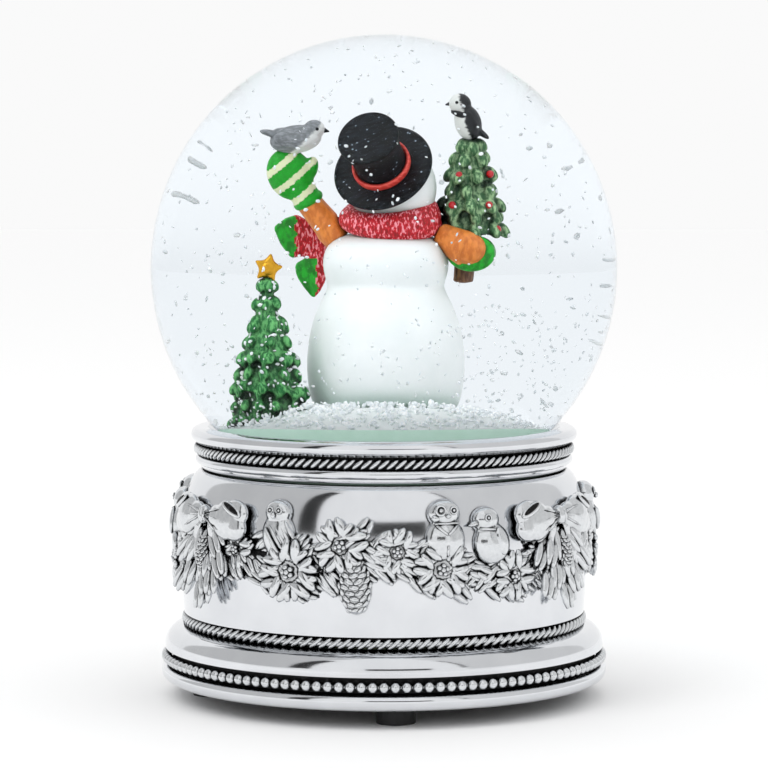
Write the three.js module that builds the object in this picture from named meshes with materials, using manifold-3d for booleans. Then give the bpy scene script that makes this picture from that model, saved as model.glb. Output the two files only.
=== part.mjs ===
// Musical snow globe: a water-filled glass ball with a snowman scene, sealed by a rubber stopper and held in
// the collar of a three-piece silvered base that hides an 18-note wind-up movement.
// Millimetres, +Z up. The origin is on the table, on the globe's axis. The snowman faces +Y.

import * as THREE from "three";
import { mergeVertices } from "three/addons/utils/BufferGeometryUtils.js";
import Module from "manifold-3d";

const wasm = await Module();
wasm.setup();

// ---- Driving dimensions ----
const GAP = 0.3; // clearance between pieces that touch
const GLOBE = { radius: 50, wall: 1.6, centreZ: 91.9, neckR: 35.5, neckDrop: 40.6 };
const FOOT = { radius: 4.1, height: 4.2, orbit: 37.2, count: 4, offsetDeg: 3.7 };
const RIM_Z = 3.9; // underside of the base's rim
const RIM_R = 47.95; // widest radius of the rim
const DRUM = { bottomZ: 16.1, bellyZ: 31, topZ: 49, topR: 38.9, bellyR: 43.6, footR: 42.9, wall: 2.2 };
const COLLAR = { bottomZ: 49.3, lipZ: 58.1, lipR: 41.5, boreR: 36.1 };
const SEAT_Z = 48.3; // shelf in the drum that carries the stopper and the glass
const ROPE_R = 0.95; // wire radius of the twisted rope trims
const LOWER_ROPE = { ringR: 42.6, z: 17.2 };
const UPPER_ROPE = { ringR: 40.0, z: 53.5 };
const BEADS = { ringR: 46.85, z: 8.8, wireR: 1.05 };
const SECTORS = 3; // the garland repeats three times round the drum
const WELL = { radius: 16.2, wall: 1.6, ceilingZ: 12.5 }; // recess that the key turns in
const COVER = { radius: 42.6, bottomZ: 4.5, thick: 2 };
const SCREW_ORBIT = 37.6;
const ROUND = 28; // segments round the large turned pieces

// Movement: a crown wheel on the key's arbor drives the pin cylinder, which drives the air governor.
const CROWN = { teeth: 36, midR: 11.5, face: 2.6, pitchZ: 26.3 };
const CYL_PINION = { teeth: 9, pitchR: (CROWN.midR * 9) / CROWN.teeth };
const CYL = { radius: 6, fromX: 15.6, length: 15.4, axisZ: CROWN.pitchZ + CYL_PINION.pitchR };
const TRAIN_MODULE = 0.5;
const CYL_WHEEL_TEETH = 36;
const GOV_PINION_TEETH = 12;
const TRAIN_CENTRES = ((CYL_WHEEL_TEETH + GOV_PINION_TEETH) * TRAIN_MODULE) / 2;
const GOV_DROP = 5.8; // governor arbor lies this far below the cylinder's axis
const GOV = {
  y: Math.sqrt(TRAIN_CENTRES ** 2 - GOV_DROP ** 2),
  z: CYL.axisZ - GOV_DROP,
  wormWheelTeeth: 16,
  wormWheelR: 4.2,
  flyX: 25.8,
};
const BED = { z: 14.8, thick: 1.4 };

// ---- Materials ----
const paint = (color, roughness = 0.5, metalness = 0) =>
  new THREE.MeshStandardMaterial({ color, roughness, metalness });
const clear = (color, opacity, roughness) =>
  new THREE.MeshStandardMaterial({ color, roughness, transparent: true, opacity });
const FINISH = {
  silver: paint(0xe9eaec, 0.08, 1),
  rubber: paint(0x0e0e0f, 0.8),
  coverBoard: paint(0x1b1b1d, 0.7),
  brass: paint(0xc8a24a, 0.3, 1),
  steel: paint(0x9da1a6, 0.35, 1),
  stopper: paint(0xdfe3dc, 0.7),
  glass: clear(0xf2f7f6, 0.2, 0.02),
  water: clear(0xeef5f4, 0.15, 0.02),
  flakes: paint(0xf4f6f8, 0.3),
  snow: paint(0xeef2ef, 0.5),
  black: paint(0x16181b, 0.3),
  red: paint(0xc3202f, 0.5),
  green: paint(0x12a51f, 0.4),
  sleeve: paint(0xcf7a2c, 0.45),
  grey: paint(0x85827c, 0.5),
  foliage: paint(0x3f7d44, 0.55),
  gold: paint(0xd79b25, 0.35),
};

// ---- Solids ----
// A closed geometry as a solid whose faces point out.
function solid(geometry) {
  const bare = new THREE.BufferGeometry();
  bare.setAttribute("position", geometry.getAttribute("position").clone());
  if (geometry.index) bare.setIndex(geometry.index.clone());
  const merged = mergeVertices(bare, 1e-4);
  const index = merged.index.array;
  const triVerts = [];
  for (let i = 0; i < index.length; i += 3) {
    const [a, b, c] = [index[i], index[i + 1], index[i + 2]];
    if (a !== b && b !== c && c !== a) triVerts.push(a, b, c);
  }
  const vertProperties = merged.attributes.position.array;
  const build = (tris) =>
    new wasm.Manifold(new wasm.Mesh({ numProp: 3, vertProperties, triVerts: new Uint32Array(tris) }));
  const made = build(triVerts);
  if (made.volume() > 0) return made;
  for (let i = 0; i < triVerts.length; i += 3) {
    [triVerts[i + 1], triVerts[i + 2]] = [triVerts[i + 2], triVerts[i + 1]];
  }
  return build(triVerts);
}

const join = (...parts) => parts.reduce((whole, part) => whole.add(part));
const cut = (whole, ...tools) => tools.reduce((rest, tool) => rest.subtract(tool), whole);

// A solid as a named mesh, placed by its position.
function piece(name, made, material, position = [0, 0, 0]) {
  const mesh = made.getMesh();
  const geometry = new THREE.BufferGeometry();
  geometry.setAttribute("position", new THREE.BufferAttribute(mesh.vertProperties, 3));
  geometry.setIndex(new THREE.BufferAttribute(mesh.triVerts, 1));
  geometry.computeVertexNormals();
  const made3d = new THREE.Mesh(geometry, material);
  made3d.name = name;
  made3d.position.set(...position);
  return made3d;
}

// A closed profile of [radius, height] points turned about Z.
function turned(profile, segments = ROUND) {
  const points = profile.map(([r, z]) => new THREE.Vector2(r, z));
  points.push(points[0].clone());
  return solid(new THREE.LatheGeometry(points, segments).rotateX(Math.PI / 2));
}

// A cylinder along Z from z0 to z1, or a cone if topR is given.
function post(radius, z0, z1, [x, y] = [0, 0], segments = 16, topR = radius) {
  const height = z1 - z0;
  const shape = new THREE.CylinderGeometry(topR, radius, height, segments).rotateX(Math.PI / 2);
  return solid(shape.translate(x, y, (z0 + z1) / 2));
}

// A cylinder along X from x0 to x1.
function axle(radius, x0, x1, [y, z] = [0, 0], segments = 12) {
  const shape = new THREE.CylinderGeometry(radius, radius, x1 - x0, segments).rotateZ(Math.PI / 2);
  return solid(shape.translate((x0 + x1) / 2, y, z));
}

function block([x0, y0, z0], [x1, y1, z1]) {
  const shape = new THREE.BoxGeometry(x1 - x0, y1 - y0, z1 - z0);
  return solid(shape.translate((x0 + x1) / 2, (y0 + y1) / 2, (z0 + z1) / 2));
}

// A ball squashed to three radii, turned by Euler angles and moved to its centre.
function ball([rx, ry, rz], [x, y, z], turn = [0, 0, 0], across = 10, down = 6) {
  const shape = new THREE.SphereGeometry(1, across, down).rotateX(Math.PI / 2).scale(rx, ry, rz);
  shape.applyMatrix4(new THREE.Matrix4().makeRotationFromEuler(new THREE.Euler(...turn)));
  return solid(shape.translate(x, y, z));
}

// A round bar between two points, with its own radius at each end.
function bar(from, to, fromR, toR, segments = 12) {
  const a = new THREE.Vector3(...from);
  const b = new THREE.Vector3(...to);
  const along = b.clone().sub(a);
  const shape = new THREE.CylinderGeometry(toR, fromR, along.length(), segments);
  const turn = new THREE.Quaternion().setFromUnitVectors(new THREE.Vector3(0, 1, 0), along.clone().normalize());
  const middle = a.add(b).multiplyScalar(0.5);
  return solid(shape.applyQuaternion(turn).translate(middle.x, middle.y, middle.z));
}

// A flat outline of [x, y] points pushed up along Z.
function plate(outline, depth, holes = []) {
  const shape = new THREE.Shape(outline.map(([x, y]) => new THREE.Vector2(x, y)));
  holes.forEach(([x, y, r]) => shape.holes.push(new THREE.Path().absarc(x, y, r, 0, 2 * Math.PI, true)));
  return new THREE.ExtrudeGeometry(shape, { depth, bevelEnabled: false, curveSegments: 8 });
}

function arcPoints(centreR, centreZ, radius, fromDeg, toDeg, steps) {
  return Array.from({ length: steps + 1 }, (_, i) => {
    const a = THREE.MathUtils.degToRad(fromDeg + ((toDeg - fromDeg) * i) / steps);
    return [centreR + radius * Math.cos(a), centreZ + radius * Math.sin(a)];
  });
}

// ---- Base castings ----
// Radius of the drum's bulging wall at a height.
function drumRadius(z) {
  const { bellyZ, topZ, topR, bellyR, footR } = DRUM;
  if (z <= bellyZ) {
    const down = (bellyZ - z) / (bellyZ - DRUM.bottomZ);
    return bellyR - (bellyR - footR) * down ** 2;
  }
  const up = (z - bellyZ) / (topZ - bellyZ);
  return topR + (bellyR - topR) * Math.sqrt(1 - up ** 2.4);
}

function drumWall(grow = 0) {
  return [18.4, 31, 40, 45, 48].map((z) => [drumRadius(z) + grow, z]);
}

const screwSpots = [45, 165, 285].map((deg) => {
  const a = THREE.MathUtils.degToRad(deg);
  return [SCREW_ORBIT * Math.cos(a), SCREW_ORBIT * Math.sin(a)];
});

// Spreading foot of the base, with the bead groove, three screw bosses and an open underside.
function baseFlange() {
  const top = DRUM.bottomZ - GAP;
  const rim = arcPoints(RIM_R - 2, RIM_Z + 1.9, 2, -72, 25, 4);
  const shoulder = arcPoints(43.4, 11.8, 3.5, 0, 80, 4);
  const outline = [
    [43, RIM_Z],
    ...rim,
    [46.8, 7],
    [45.5, 7.4],
    [45.5, 10.3],
    [46.8, 10.8],
    ...shoulder,
    [43.2, top],
    [37.4, top],
    [37.4, 13.2],
    [43, 11],
  ];
  const bosses = screwSpots.map((at) => post(3, COVER.bottomZ + COVER.thick + GAP, 14, at, 12));
  const holes = screwSpots.map((at) => post(1.4, 5, 12, at, 8));
  return cut(join(turned(outline), ...bosses), ...holes);
}

// Bulging drum, open below, with a shelf across its top that the stopper and the glass rest on.
function baseDrum() {
  const inside = DRUM.wall;
  return turned([
    [40.4, DRUM.bottomZ],
    [41.3, DRUM.bottomZ],
    [41.3, 18.4],
    ...drumWall(),
    [DRUM.topR - 0.4, DRUM.topZ],
    [36.4, DRUM.topZ],
    [36.4, SEAT_Z],
    [30, SEAT_Z],
    [30, SEAT_Z - 2.4],
    [36.6, SEAT_Z - 3.4],
    [drumRadius(39) - inside, 39],
    [drumRadius(30) - inside, 30],
  ]);
}

// Moulded collar round the ball's neck, with a groove for the upper rope.
function baseCollar() {
  const { bottomZ, lipZ, lipR, boreR } = COLLAR;
  return turned([
    [boreR, bottomZ],
    [39.2, bottomZ],
    [39.5, bottomZ + 0.7],
    [40, bottomZ + 1.2],
    [40.5, bottomZ + 2],
    [40.4, bottomZ + 2.7],
    [38.7, bottomZ + 2.8],
    [38.7, bottomZ + 5.6],
    [40.7, bottomZ + 5.7],
    ...arcPoints(lipR - 1.4, lipZ - 1.5, 1.4, -30, 75, 3),
    [39.2, lipZ],
    [37.9, lipZ],
    [boreR, lipZ - 1.9],
  ]);
}

// A ring of round wire.
function wireRing(ringR, z, wireR, sides = 6) {
  const section = Array.from({ length: sides }, (_, i) => {
    const a = (2 * Math.PI * i) / sides;
    return [ringR + wireR * Math.cos(a), z + wireR * Math.sin(a)];
  });
  return turned(section);
}

// ---- Garland relief ----
// A blob on the drum: angle from the sector's middle in degrees, height, half width, half height, depth.
function relief(angleDeg, z, wide, tall, deep = 1.5, lean = 0) {
  const a = THREE.MathUtils.degToRad(angleDeg - 90);
  const r = drumRadius(z) + 0.55 * deep;
  const shape = new THREE.SphereGeometry(1, 6, 3).rotateX(Math.PI / 2).scale(deep, wide, tall);
  shape.rotateX(THREE.MathUtils.degToRad(lean)).rotateZ(a);
  return solid(shape.translate(r * Math.cos(a), r * Math.sin(a), z));
}

const drumSpace = turned([[20, 17], [DRUM.footR + GAP, 17], ...drumWall(GAP), [20, 48]]);

// Flowers and leaves in a double festoon, with a hanging cone and three perched birds.
function garlandSector() {
  const festoon = [
    [-40, 30.6, 7.6, 5],
    [-28, 29.4, 7.4, 5.4],
    [-17, 32, 5, 4.4],
    [-6, 34, 7.4, 4.8],
    [6, 31, 5.6, 4.4],
    [17, 28.4, 6.6, 5],
    [29, 27.8, 6, 4.2],
    [41, 30, 6.4, 4.6],
  ];
  const birdAngles = [-29, 17, 29];
  const blobs = festoon.map(([angle, z, wide, tall]) => relief(angle, z, wide, tall));
  blobs.push(relief(-7.6, 26.4, 2.6, 5, 2));
  birdAngles.forEach((angle) => blobs.push(relief(angle, 37.4, 3.5, 7.4, 2.3)));
  return cut(join(...blobs), drumSpace);
}

// A ribbon bow over a hanging spray of pine.
function bowSector() {
  const blobs = [
    relief(0, 38.6, 2, 2, 2.2),
    relief(-6.2, 38.6, 4.6, 3.2, 2.2, 8),
    relief(6.2, 39, 4.6, 3.2, 2.2, -8),
    relief(-4.4, 32, 2.6, 6, 1.4, -10),
    relief(0.4, 30.6, 4.4, 8.6, 1.7),
    relief(4.8, 31.6, 3, 6, 1.5, 12),
  ];
  return cut(join(...blobs), drumSpace);
}

// ---- Underside ----
function bottomCover() {
  const { radius, wall, ceilingZ } = WELL;
  const top = COVER.bottomZ + COVER.thick;
  const shell = turned(
    [
      [radius, COVER.bottomZ],
      [COVER.radius, COVER.bottomZ],
      [COVER.radius, top],
      [radius + wall, top],
      [radius + wall, ceilingZ + 2],
      [2.6, ceilingZ + 2],
      [2.6, ceilingZ],
      [radius, ceilingZ],
    ],
    32,
  );
  const holes = screwSpots.map((at) => post(1.6, 3, 8, at, 8));
  const movementHoles = MOVEMENT_SCREWS.map((at) => post(1.3, 11, 16, at, 8));
  return cut(shell, ...holes, ...movementHoles);
}

// A pan-head screw along Z with its head below its shank, in its own frame.
function screw(headR, headZ, shankR, length) {
  return join(post(headR, -headZ, 0, [0, 0], 12), post(shankR, -0.2, length, [0, 0], 8));
}

function windingKey() {
  const lobe = (side) => [
    [1.6 * side, 8.6],
    [4.2 * side, 9.4],
    [7.2 * side, 8.6],
    [8.6 * side, 6],
    [8.2 * side, 3.4],
    [6 * side, 1.6],
    [3 * side, 1.9],
    [1.2 * side, 3.4],
  ];
  const outline = [...lobe(1), ...lobe(-1).reverse()];
  const wing = plate(outline, 1.4).translate(0, 0, -0.7).rotateX(Math.PI / 2);
  return join(solid(wing), post(2.6, 7.4, 12, [0, 0], 12));
}

// ---- Movement ----
const MOVEMENT_FLOOR = BED.z + BED.thick + GAP; // top of the bedplate
const MOVEMENT_SCREWS = [
  [9.4, -8.4],
  [-9.4, 8.4],
];
const COMB_SCREWS = [19, 28];

// Outline of a spur gear with straight-sided teeth, turned by a part of a tooth.
function gearOutline(teeth, pitchR, addendum, dedendum, phase = 0) {
  const pitch = (2 * Math.PI) / teeth;
  const outline = [];
  for (let i = 0; i < teeth; i += 1) {
    const a = (i + phase) * pitch;
    const corners = [
      [-0.3, pitchR - dedendum],
      [-0.11, pitchR + addendum],
      [0.11, pitchR + addendum],
      [0.3, pitchR - dedendum],
    ];
    corners.forEach(([share, r]) => {
      outline.push([r * Math.cos(a + share * pitch), r * Math.sin(a + share * pitch)]);
    });
  }
  return outline;
}

// A spur gear on an axis along X, from x0, as wide as given. Its first tooth points along -Z at phase 0.
function spurAlongX(teeth, pitchR, addendum, dedendum, x0, width, phase = 0) {
  const shape = plate(gearOutline(teeth, pitchR, addendum, dedendum, phase), width);
  return solid(shape.rotateY(Math.PI / 2).translate(x0, 0, 0));
}

function crownArbor() {
  const { teeth, midR, face, pitchZ } = CROWN;
  const discZ = pitchZ - 0.85;
  const crownTooth = (i) => {
    const shape = plate(
      [
        [-0.5, -0.6],
        [0.5, -0.6],
        [0.22, 0.8],
        [-0.22, 0.8],
      ],
      face,
    );
    // The outline lies across the rim; its length runs outward.
    shape.rotateX(Math.PI / 2).translate(0, midR + face / 2, 0);
    return solid(shape.rotateZ((2 * Math.PI * i) / teeth - Math.PI / 2).translate(0, 0, pitchZ - 0.4));
  };
  const disc = turned(
    [
      [0, discZ - 1],
      [midR + face / 2 + 0.2, discZ - 1],
      [midR + face / 2 + 0.2, discZ],
      [0, discZ],
    ],
    24,
  );
  const shaft = post(2, WELL.ceilingZ - 0.2, discZ + 1, [0, 0], 12);
  return join(disc, shaft, ...Array.from({ length: teeth }, (_, i) => crownTooth(i)));
}

function barrelHousing() {
  const top = CROWN.pitchZ - 1.85 - GAP;
  return turned(
    [
      [2.5, MOVEMENT_FLOOR],
      [12.6, MOVEMENT_FLOOR],
      [12.6, top],
      [11.7, top],
      [11.7, MOVEMENT_FLOOR + 0.9],
      [2.5, MOVEMENT_FLOOR + 0.9],
    ],
    24,
  );
}

// A wound flat strip between the arbor and the housing's wall.
function mainspring() {
  const turns = 3;
  const perTurn = 14;
  const steps = turns * perTurn;
  const radiusAt = (i) => 3.4 + (7.6 * i) / steps;
  const side = (offset) =>
    Array.from({ length: steps + 1 }, (_, i) => {
      const a = (2 * Math.PI * i) / perTurn;
      const r = radiusAt(i) + offset;
      return [r * Math.cos(a), r * Math.sin(a)];
    });
  const outline = [...side(0.3), ...side(-0.3).reverse()];
  return solid(plate(outline, 4.6).translate(0, 0, MOVEMENT_FLOOR + 1.2));
}

function bedplate() {
  const outline = [
    [-17, -13],
    [-13, -16.5],
    [31, -16.5],
    [33, -13],
    [33, 14],
    [29, 21],
    [18, 21],
    [12, 16.5],
    [-13, 16.5],
    [-17, 13],
  ];
  const holes = [[0, 0, 2.6], ...MOVEMENT_SCREWS.map(([x, y]) => [x, y, 1.3])];
  return solid(plate(outline, BED.thick, holes).translate(0, 0, BED.z));
}

function pinCylinder() {
  const { radius, fromX, length } = CYL;
  const drum = axle(radius, fromX, fromX + length, [0, 0], 20);
  const rows = 18;
  const pins = Array.from({ length: rows }, (_, i) => {
    const x = fromX + 0.9 + (i * (length - 1.8)) / (rows - 1);
    const a = i * 2.39996; // golden angle, so that the tune's pins spread evenly
    const pin = new THREE.BoxGeometry(0.3, 0.3, 1).translate(0, 0, radius + 0.05);
    return solid(pin.rotateX(a).translate(x, 0, 0));
  });
  return cut(join(drum, ...pins), axle(0.9 + GAP / 2, fromX - 1, fromX + length + 1, [0, 0], 8));
}

// Shaft with the crown's pinion on one end and the governor's drive wheel on the other.
function cylinderArbor() {
  const pinion = spurAlongX(CYL_PINION.teeth, CYL_PINION.pitchR, 0.4, 0.6, CROWN.midR - 1.2, 2.4, 0.5);
  const pitchR = (CYL_WHEEL_TEETH * TRAIN_MODULE) / 2;
  const wheel = spurAlongX(CYL_WHEEL_TEETH, pitchR, 0.32, 0.6, 31.3, 1, trainPhase());
  return join(pinion, wheel, axle(0.9, 9, 34.6, [0, 0], 8));
}

// The drive wheel has a tooth where the two arbors' line of centres crosses it, and the pinion a gap.
function trainPhase() {
  const towards = Math.atan2(GOV.y, GOV_DROP);
  return (towards / (2 * Math.PI)) * CYL_WHEEL_TEETH;
}

function governorArbor() {
  const pitchR = (GOV_PINION_TEETH * TRAIN_MODULE) / 2;
  const towards = Math.atan2(-GOV.y, -GOV_DROP);
  const phase = (towards / (2 * Math.PI)) * GOV_PINION_TEETH + 0.5;
  const pinion = spurAlongX(GOV_PINION_TEETH, pitchR, 0.32, 0.6, 31.1, 1.4, phase);
  const wormWheel = spurAlongX(GOV.wormWheelTeeth, GOV.wormWheelR, 0.35, 0.6, GOV.flyX - 0.7, 1.4);
  return join(pinion, wormWheel, axle(0.7, 21.4, 34.4, [0, 0], 8));
}

// Upright worm with a two-bladed air brake, in its own frame on its own axis.
const FLY_Y = GOV.y + GOV.wormWheelR + 0.35 + 1 + GAP;

function governorFly() {
  const stem = post(0.5, -6.1, 15.2, [0, 0], 8);
  const threads = [-2.4, -0.8, 0.8, 2.4].map((z) => post(1, z - 0.3, z + 0.3, [0, 0], 8));
  const blade = block([-3.6, -0.25, 8.2], [3.6, 0.25, 13]);
  return join(stem, blade, ...threads);
}

// A plate across the X axis, drawn as [y, z] points, with its bearing holes.
function bearingPlate(x0, width, outline, holes) {
  const shape = plate(outline, width, holes);
  return solid(shape.rotateZ(Math.PI / 2).rotateY(Math.PI / 2).translate(x0, 0, 0));
}

function comb() {
  const teeth = 18;
  const from = CYL.fromX + 0.2;
  const pitch = (CYL.length - 0.4) / teeth;
  const outline = [
    [from, -16],
    [from + pitch * teeth, -16],
  ];
  for (let i = teeth - 1; i >= 0; i -= 1) {
    const x = from + pitch * i;
    outline.push([x + pitch - 0.14, -11.6], [x + pitch - 0.14, -7], [x + 0.14, -7], [x + 0.14, -11.6]);
  }
  const holes = COMB_SCREWS.map((x) => [x, -14, 1.1]);
  return solid(plate(outline, 0.8, holes).translate(0, 0, CYL.axisZ - 0.4));
}

function combBlock() {
  const body = block([CYL.fromX, -16.2, MOVEMENT_FLOOR], [31, -12, CYL.axisZ - 0.7]);
  return cut(body, ...COMB_SCREWS.map((x) => post(1.1, 24, 30, [x, -14], 8)));
}

function innerBearing() {
  const outline = [
    [-4, MOVEMENT_FLOOR],
    [4, MOVEMENT_FLOOR],
    [2.4, CYL.axisZ + 2.4],
    [-2.4, CYL.axisZ + 2.4],
  ];
  return bearingPlate(13.8, 1.2, outline, [[0, CYL.axisZ, 1.2]]);
}

function outerBearing() {
  const outline = [
    [-5, MOVEMENT_FLOOR],
    [GOV.y + 3, MOVEMENT_FLOOR],
    [GOV.y + 2.4, GOV.z + 2.4],
    [2.6, CYL.axisZ + 2.6],
    [-2.6, CYL.axisZ + 2.6],
  ];
  const holes = [
    [0, CYL.axisZ, 1.2],
    [GOV.y, GOV.z, 1],
  ];
  return bearingPlate(32.8, 1.2, outline, holes);
}

// Bracket with a pivot for the governor's arbor and, above and below, for the upright worm.
function governorFrame() {
  const fromX = 20.2;
  const outline = [
    [GOV.y - 2, MOVEMENT_FLOOR],
    [FLY_Y + 2, MOVEMENT_FLOOR],
    [FLY_Y + 2, GOV.z + 16.4],
    [FLY_Y - 2.4, GOV.z + 16.4],
    [GOV.y - 2, GOV.z + 3],
  ];
  const upright = bearingPlate(fromX, 1.2, outline, [[GOV.y, GOV.z, 1]]);
  const across = (z0, z1) => block([fromX + 0.2, FLY_Y - 2, z0], [GOV.flyX + 2, FLY_Y + 2, z1]);
  const arms = [across(GOV.z + 14.6, GOV.z + 16.4), across(MOVEMENT_FLOOR, MOVEMENT_FLOOR + 1.2)];
  const pivot = (z0, z1) => post(0.8, z0, z1, [GOV.flyX, FLY_Y], 8);
  const pivots = [pivot(GOV.z + 14, GOV.z + 15.6), pivot(MOVEMENT_FLOOR + 0.4, MOVEMENT_FLOOR + 2)];
  return cut(join(upright, ...arms), ...pivots);
}

// ---- Globe, water and scene: heights here are from the ball's centre ----
const NECK_Z = -GLOBE.neckDrop;
const STOPPER_TOP = -34.5;
const PLINTH = { bottomZ: STOPPER_TOP + GAP, radius: 31.2, deckR: 13.4, deckZ: -23.9, edgeZ: -30.4 };
const BANK = { ringR: 26.2, wireR: 1.2 }; // drift of settled flakes round the mound's foot
const TREE = { x: -19.6, y: -6, footZ: -28.6 };

function glassGlobe() {
  const { radius, wall, neckR } = GLOBE;
  const inner = radius - wall;
  const shore = (r, ballR) => THREE.MathUtils.radToDeg(-Math.acos(r / ballR));
  const outside = arcPoints(0, 0, radius, 90, 0, 5).concat(
    arcPoints(0, 0, radius, 0, shore(neckR, radius), 3).slice(1),
  );
  const inside = arcPoints(0, 0, inner, shore(neckR - wall, inner), 0, 3).concat(
    arcPoints(0, 0, inner, 0, 90, 5).slice(1),
  );
  outside[0][0] = 0;
  inside[inside.length - 1][0] = 0;
  return turned([...outside, [neckR, NECK_Z], [neckR - wall, NECK_Z], ...inside]);
}

// Plug that seals the neck: a rim under the glass's edge and a tapered body inside it.
function stopper() {
  return turned(
    [
      [0, SEAT_Z + GAP - GLOBE.centreZ],
      [35.6, SEAT_Z + GAP - GLOBE.centreZ],
      [35.6, NECK_Z - GAP],
      [33.4, NECK_Z - GAP],
      [33.2, STOPPER_TOP],
      [0, STOPPER_TOP],
    ],
    32,
  );
}

// The snowy mound that the figures stand on, grown by a clearance.
function mound(grow = 0) {
  const { bottomZ, radius, deckR, deckZ, edgeZ } = PLINTH;
  const slope = [0, 0.25, 0.5, 0.75, 1].map((t) => [
    radius + (deckR - radius) * t + grow,
    edgeZ + (deckZ - edgeZ) * Math.sin((t * Math.PI) / 2) + grow,
  ]);
  return turned([[0, bottomZ - grow], [radius + grow, bottomZ - grow], ...slope, [0, deckZ + grow]], 32);
}

function moundHeight(r) {
  const { radius, deckR, deckZ, edgeZ } = PLINTH;
  return edgeZ + (deckZ - edgeZ) * Math.sin((((radius - r) / (radius - deckR)) * Math.PI) / 2);
}

// Drift of glitter flakes in a horseshoe round the mound's foot, open where the tree stands.
function settledFlakes(grow = 0) {
  const z = moundHeight(BANK.ringR) + BANK.wireR + 0.8;
  const ring = wireRing(BANK.ringR, z, BANK.wireR + grow);
  return cut(ring, block([-40, -15 + grow, -40], [-8, 4 - grow, -10]));
}

function waterFill() {
  const { radius, wall } = GLOBE;
  const outer = radius - wall - GAP;
  const shore = THREE.MathUtils.radToDeg(-Math.acos(34 / outer));
  const profile = arcPoints(0, 0, outer, 90, 0, 5).concat(arcPoints(0, 0, outer, 0, shore, 3).slice(1));
  profile[0][0] = 0;
  const whole = turned([...profile, [33, PLINTH.bottomZ], [0, PLINTH.bottomZ]]);
  const { x, y } = TREE;
  const flakeRoom = turned([[22, -33], [29, -33], [29, -23.6], [22, -23.6]], 20);
  return cut(
    whole,
    mound(GAP),
    post(15, -32, 28.4, [0.3, 0], 12), // room for the snowman
    block([-24, -6, -7], [-4, 11, 26]), // raised arm, bird and scarf ends
    block([4, -7, -5], [23, 9.6, 31]), // arm with the small tree
    post(9.2, -32, 4, [x, y], 10, 5), // standing tree
    flakeRoom,
  );
}

// ---- Figures: heights from the ball's centre ----
const SNOWMAN_X = 0.3;
const HEAD = { x: 1.4, y: 0.6, z: 13, radius: 7.1 };
const HAT_AXIS = new THREE.Vector3(-0.28, -0.7, 0.66).normalize();
const SCARF = { x: 1, z: 7.3, ringR: 6.2, wireR: 2.2 };

function snowmanBody() {
  const outline = [
    [0, PLINTH.deckZ + GAP],
    [11.4, PLINTH.deckZ + GAP],
    [12.3, -20.6],
    [12.8, -16],
    [12.6, -11],
    [11, -6],
    [9.5, -2.8],
    [9.9, 0],
    [9.7, 2.4],
    [8.2, 4],
    [4.4, 4.8],
    [0, 4.8],
  ];
  return turned(outline, 16);
}

// A point at a height along the hat's axis, above the underside of its brim.
function hatPoint(height) {
  const brim = new THREE.Vector3(HEAD.x, HEAD.y, HEAD.z).addScaledVector(HAT_AXIS, 4.6);
  return brim.addScaledVector(HAT_AXIS, height).toArray();
}

const headBall = (grow) => {
  const r = HEAD.radius + grow;
  return ball([r, r, r], [HEAD.x, HEAD.y, HEAD.z], [0, 0, 0], 16, 12);
};

function snowmanHead() {
  const neckCut = block([-20, -20, -10], [20, 20, 5.2]);
  return cut(headBall(0), neckCut, bar(hatPoint(-GAP), hatPoint(12), 9, 9, 12));
}

const hatBandRing = (grow) =>
  cut(
    bar(hatPoint(1.3 - grow), hatPoint(2.7 + grow), 5.4, 5.4, 16),
    bar(hatPoint(0), hatPoint(4), 4.4 - grow, 4.4 - grow, 16),
  );

function snowmanHat() {
  const brim = bar(hatPoint(0), hatPoint(1), 8, 8, 20);
  const crown = bar(hatPoint(0.9), hatPoint(10.4), 4.8, 5.5, 16);
  return cut(join(brim, crown), hatBandRing(GAP));
}

function scarfWrap() {
  const { z, ringR, wireR } = SCARF;
  const ring = turned(arcPoints(ringR, z, wireR, 0, 300, 5), 20);
  return cut(ring, headBall(GAP).translate(-SCARF.x, 0, 0));
}

// The scarf's two ends, which blow out to the snowman's left from a knot at the front.
function scarfTails() {
  const upper = [
    [-8.6, 2.8],
    [-14.4, 1],
    [-17.2, 6],
    [-13.4, 8.2],
    [-8.8, 5.8],
  ];
  const lower = [
    [-9.4, 3.4],
    [-13.9, 0.2],
    [-13.4, -2],
    [-10.9, -5.2],
    [-9, -2.4],
  ];
  const slab = (outline, y) => solid(plate(outline, 1.4).rotateX(Math.PI / 2).translate(0, y, 0));
  const knot = block([-9.6, 8.1, 3], [-8.4, 10.1, 4.6]);
  return join(slab(upper, 10), slab(lower, 9.2), knot);
}

const leftArm = () => bar([-8.9, 1.4, 5.3], [-12.2, 1.2, 10.4], 2.2, 1.9);

const leftPalm = (grow) => ball([3.7 + grow, 2.3 + grow, 4.4 + grow], [-15.2, 1.2, 15.2], [0, -0.5, 0]);

function leftMitten() {
  const cuff = bar([-12.75, 1.2, 11.1], [-13.4, 1.2, 12.8], 2.5, 2.3);
  const thumb = ball([1.2, 1.2, 2], [-11.9, 1.2, 16], [0, 0.3, 0], 8, 6);
  return join(cuff, leftPalm(0), thumb);
}

// Small grey and white bird that stands on the raised mitten.
function greyBird() {
  const body = ball([4.2, 2.1, 2.1], [-14.4, 0.8, 21.6], [0, -0.1, 0]);
  const head = ball([1.7, 1.5, 1.5], [-11.4, 0.8, 23.5], [0, 0, 0], 10, 6);
  const tail = bar([-17, 0.8, 22.1], [-20.2, 0.8, 23.1], 1.2, 0.6, 8);
  const beak = bar([-10.2, 0.8, 23.4], [-9, 0.8, 23.1], 0.7, 0.2, 6);
  return cut(join(body, head, tail, beak), leftPalm(GAP));
}

const rightArm = (grow = 0) =>
  bar([11.3, -1.5, 3.6], [15 + grow, -3, 1.8 - grow], 2.4 + grow, 2.6 + grow, 10);

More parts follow.
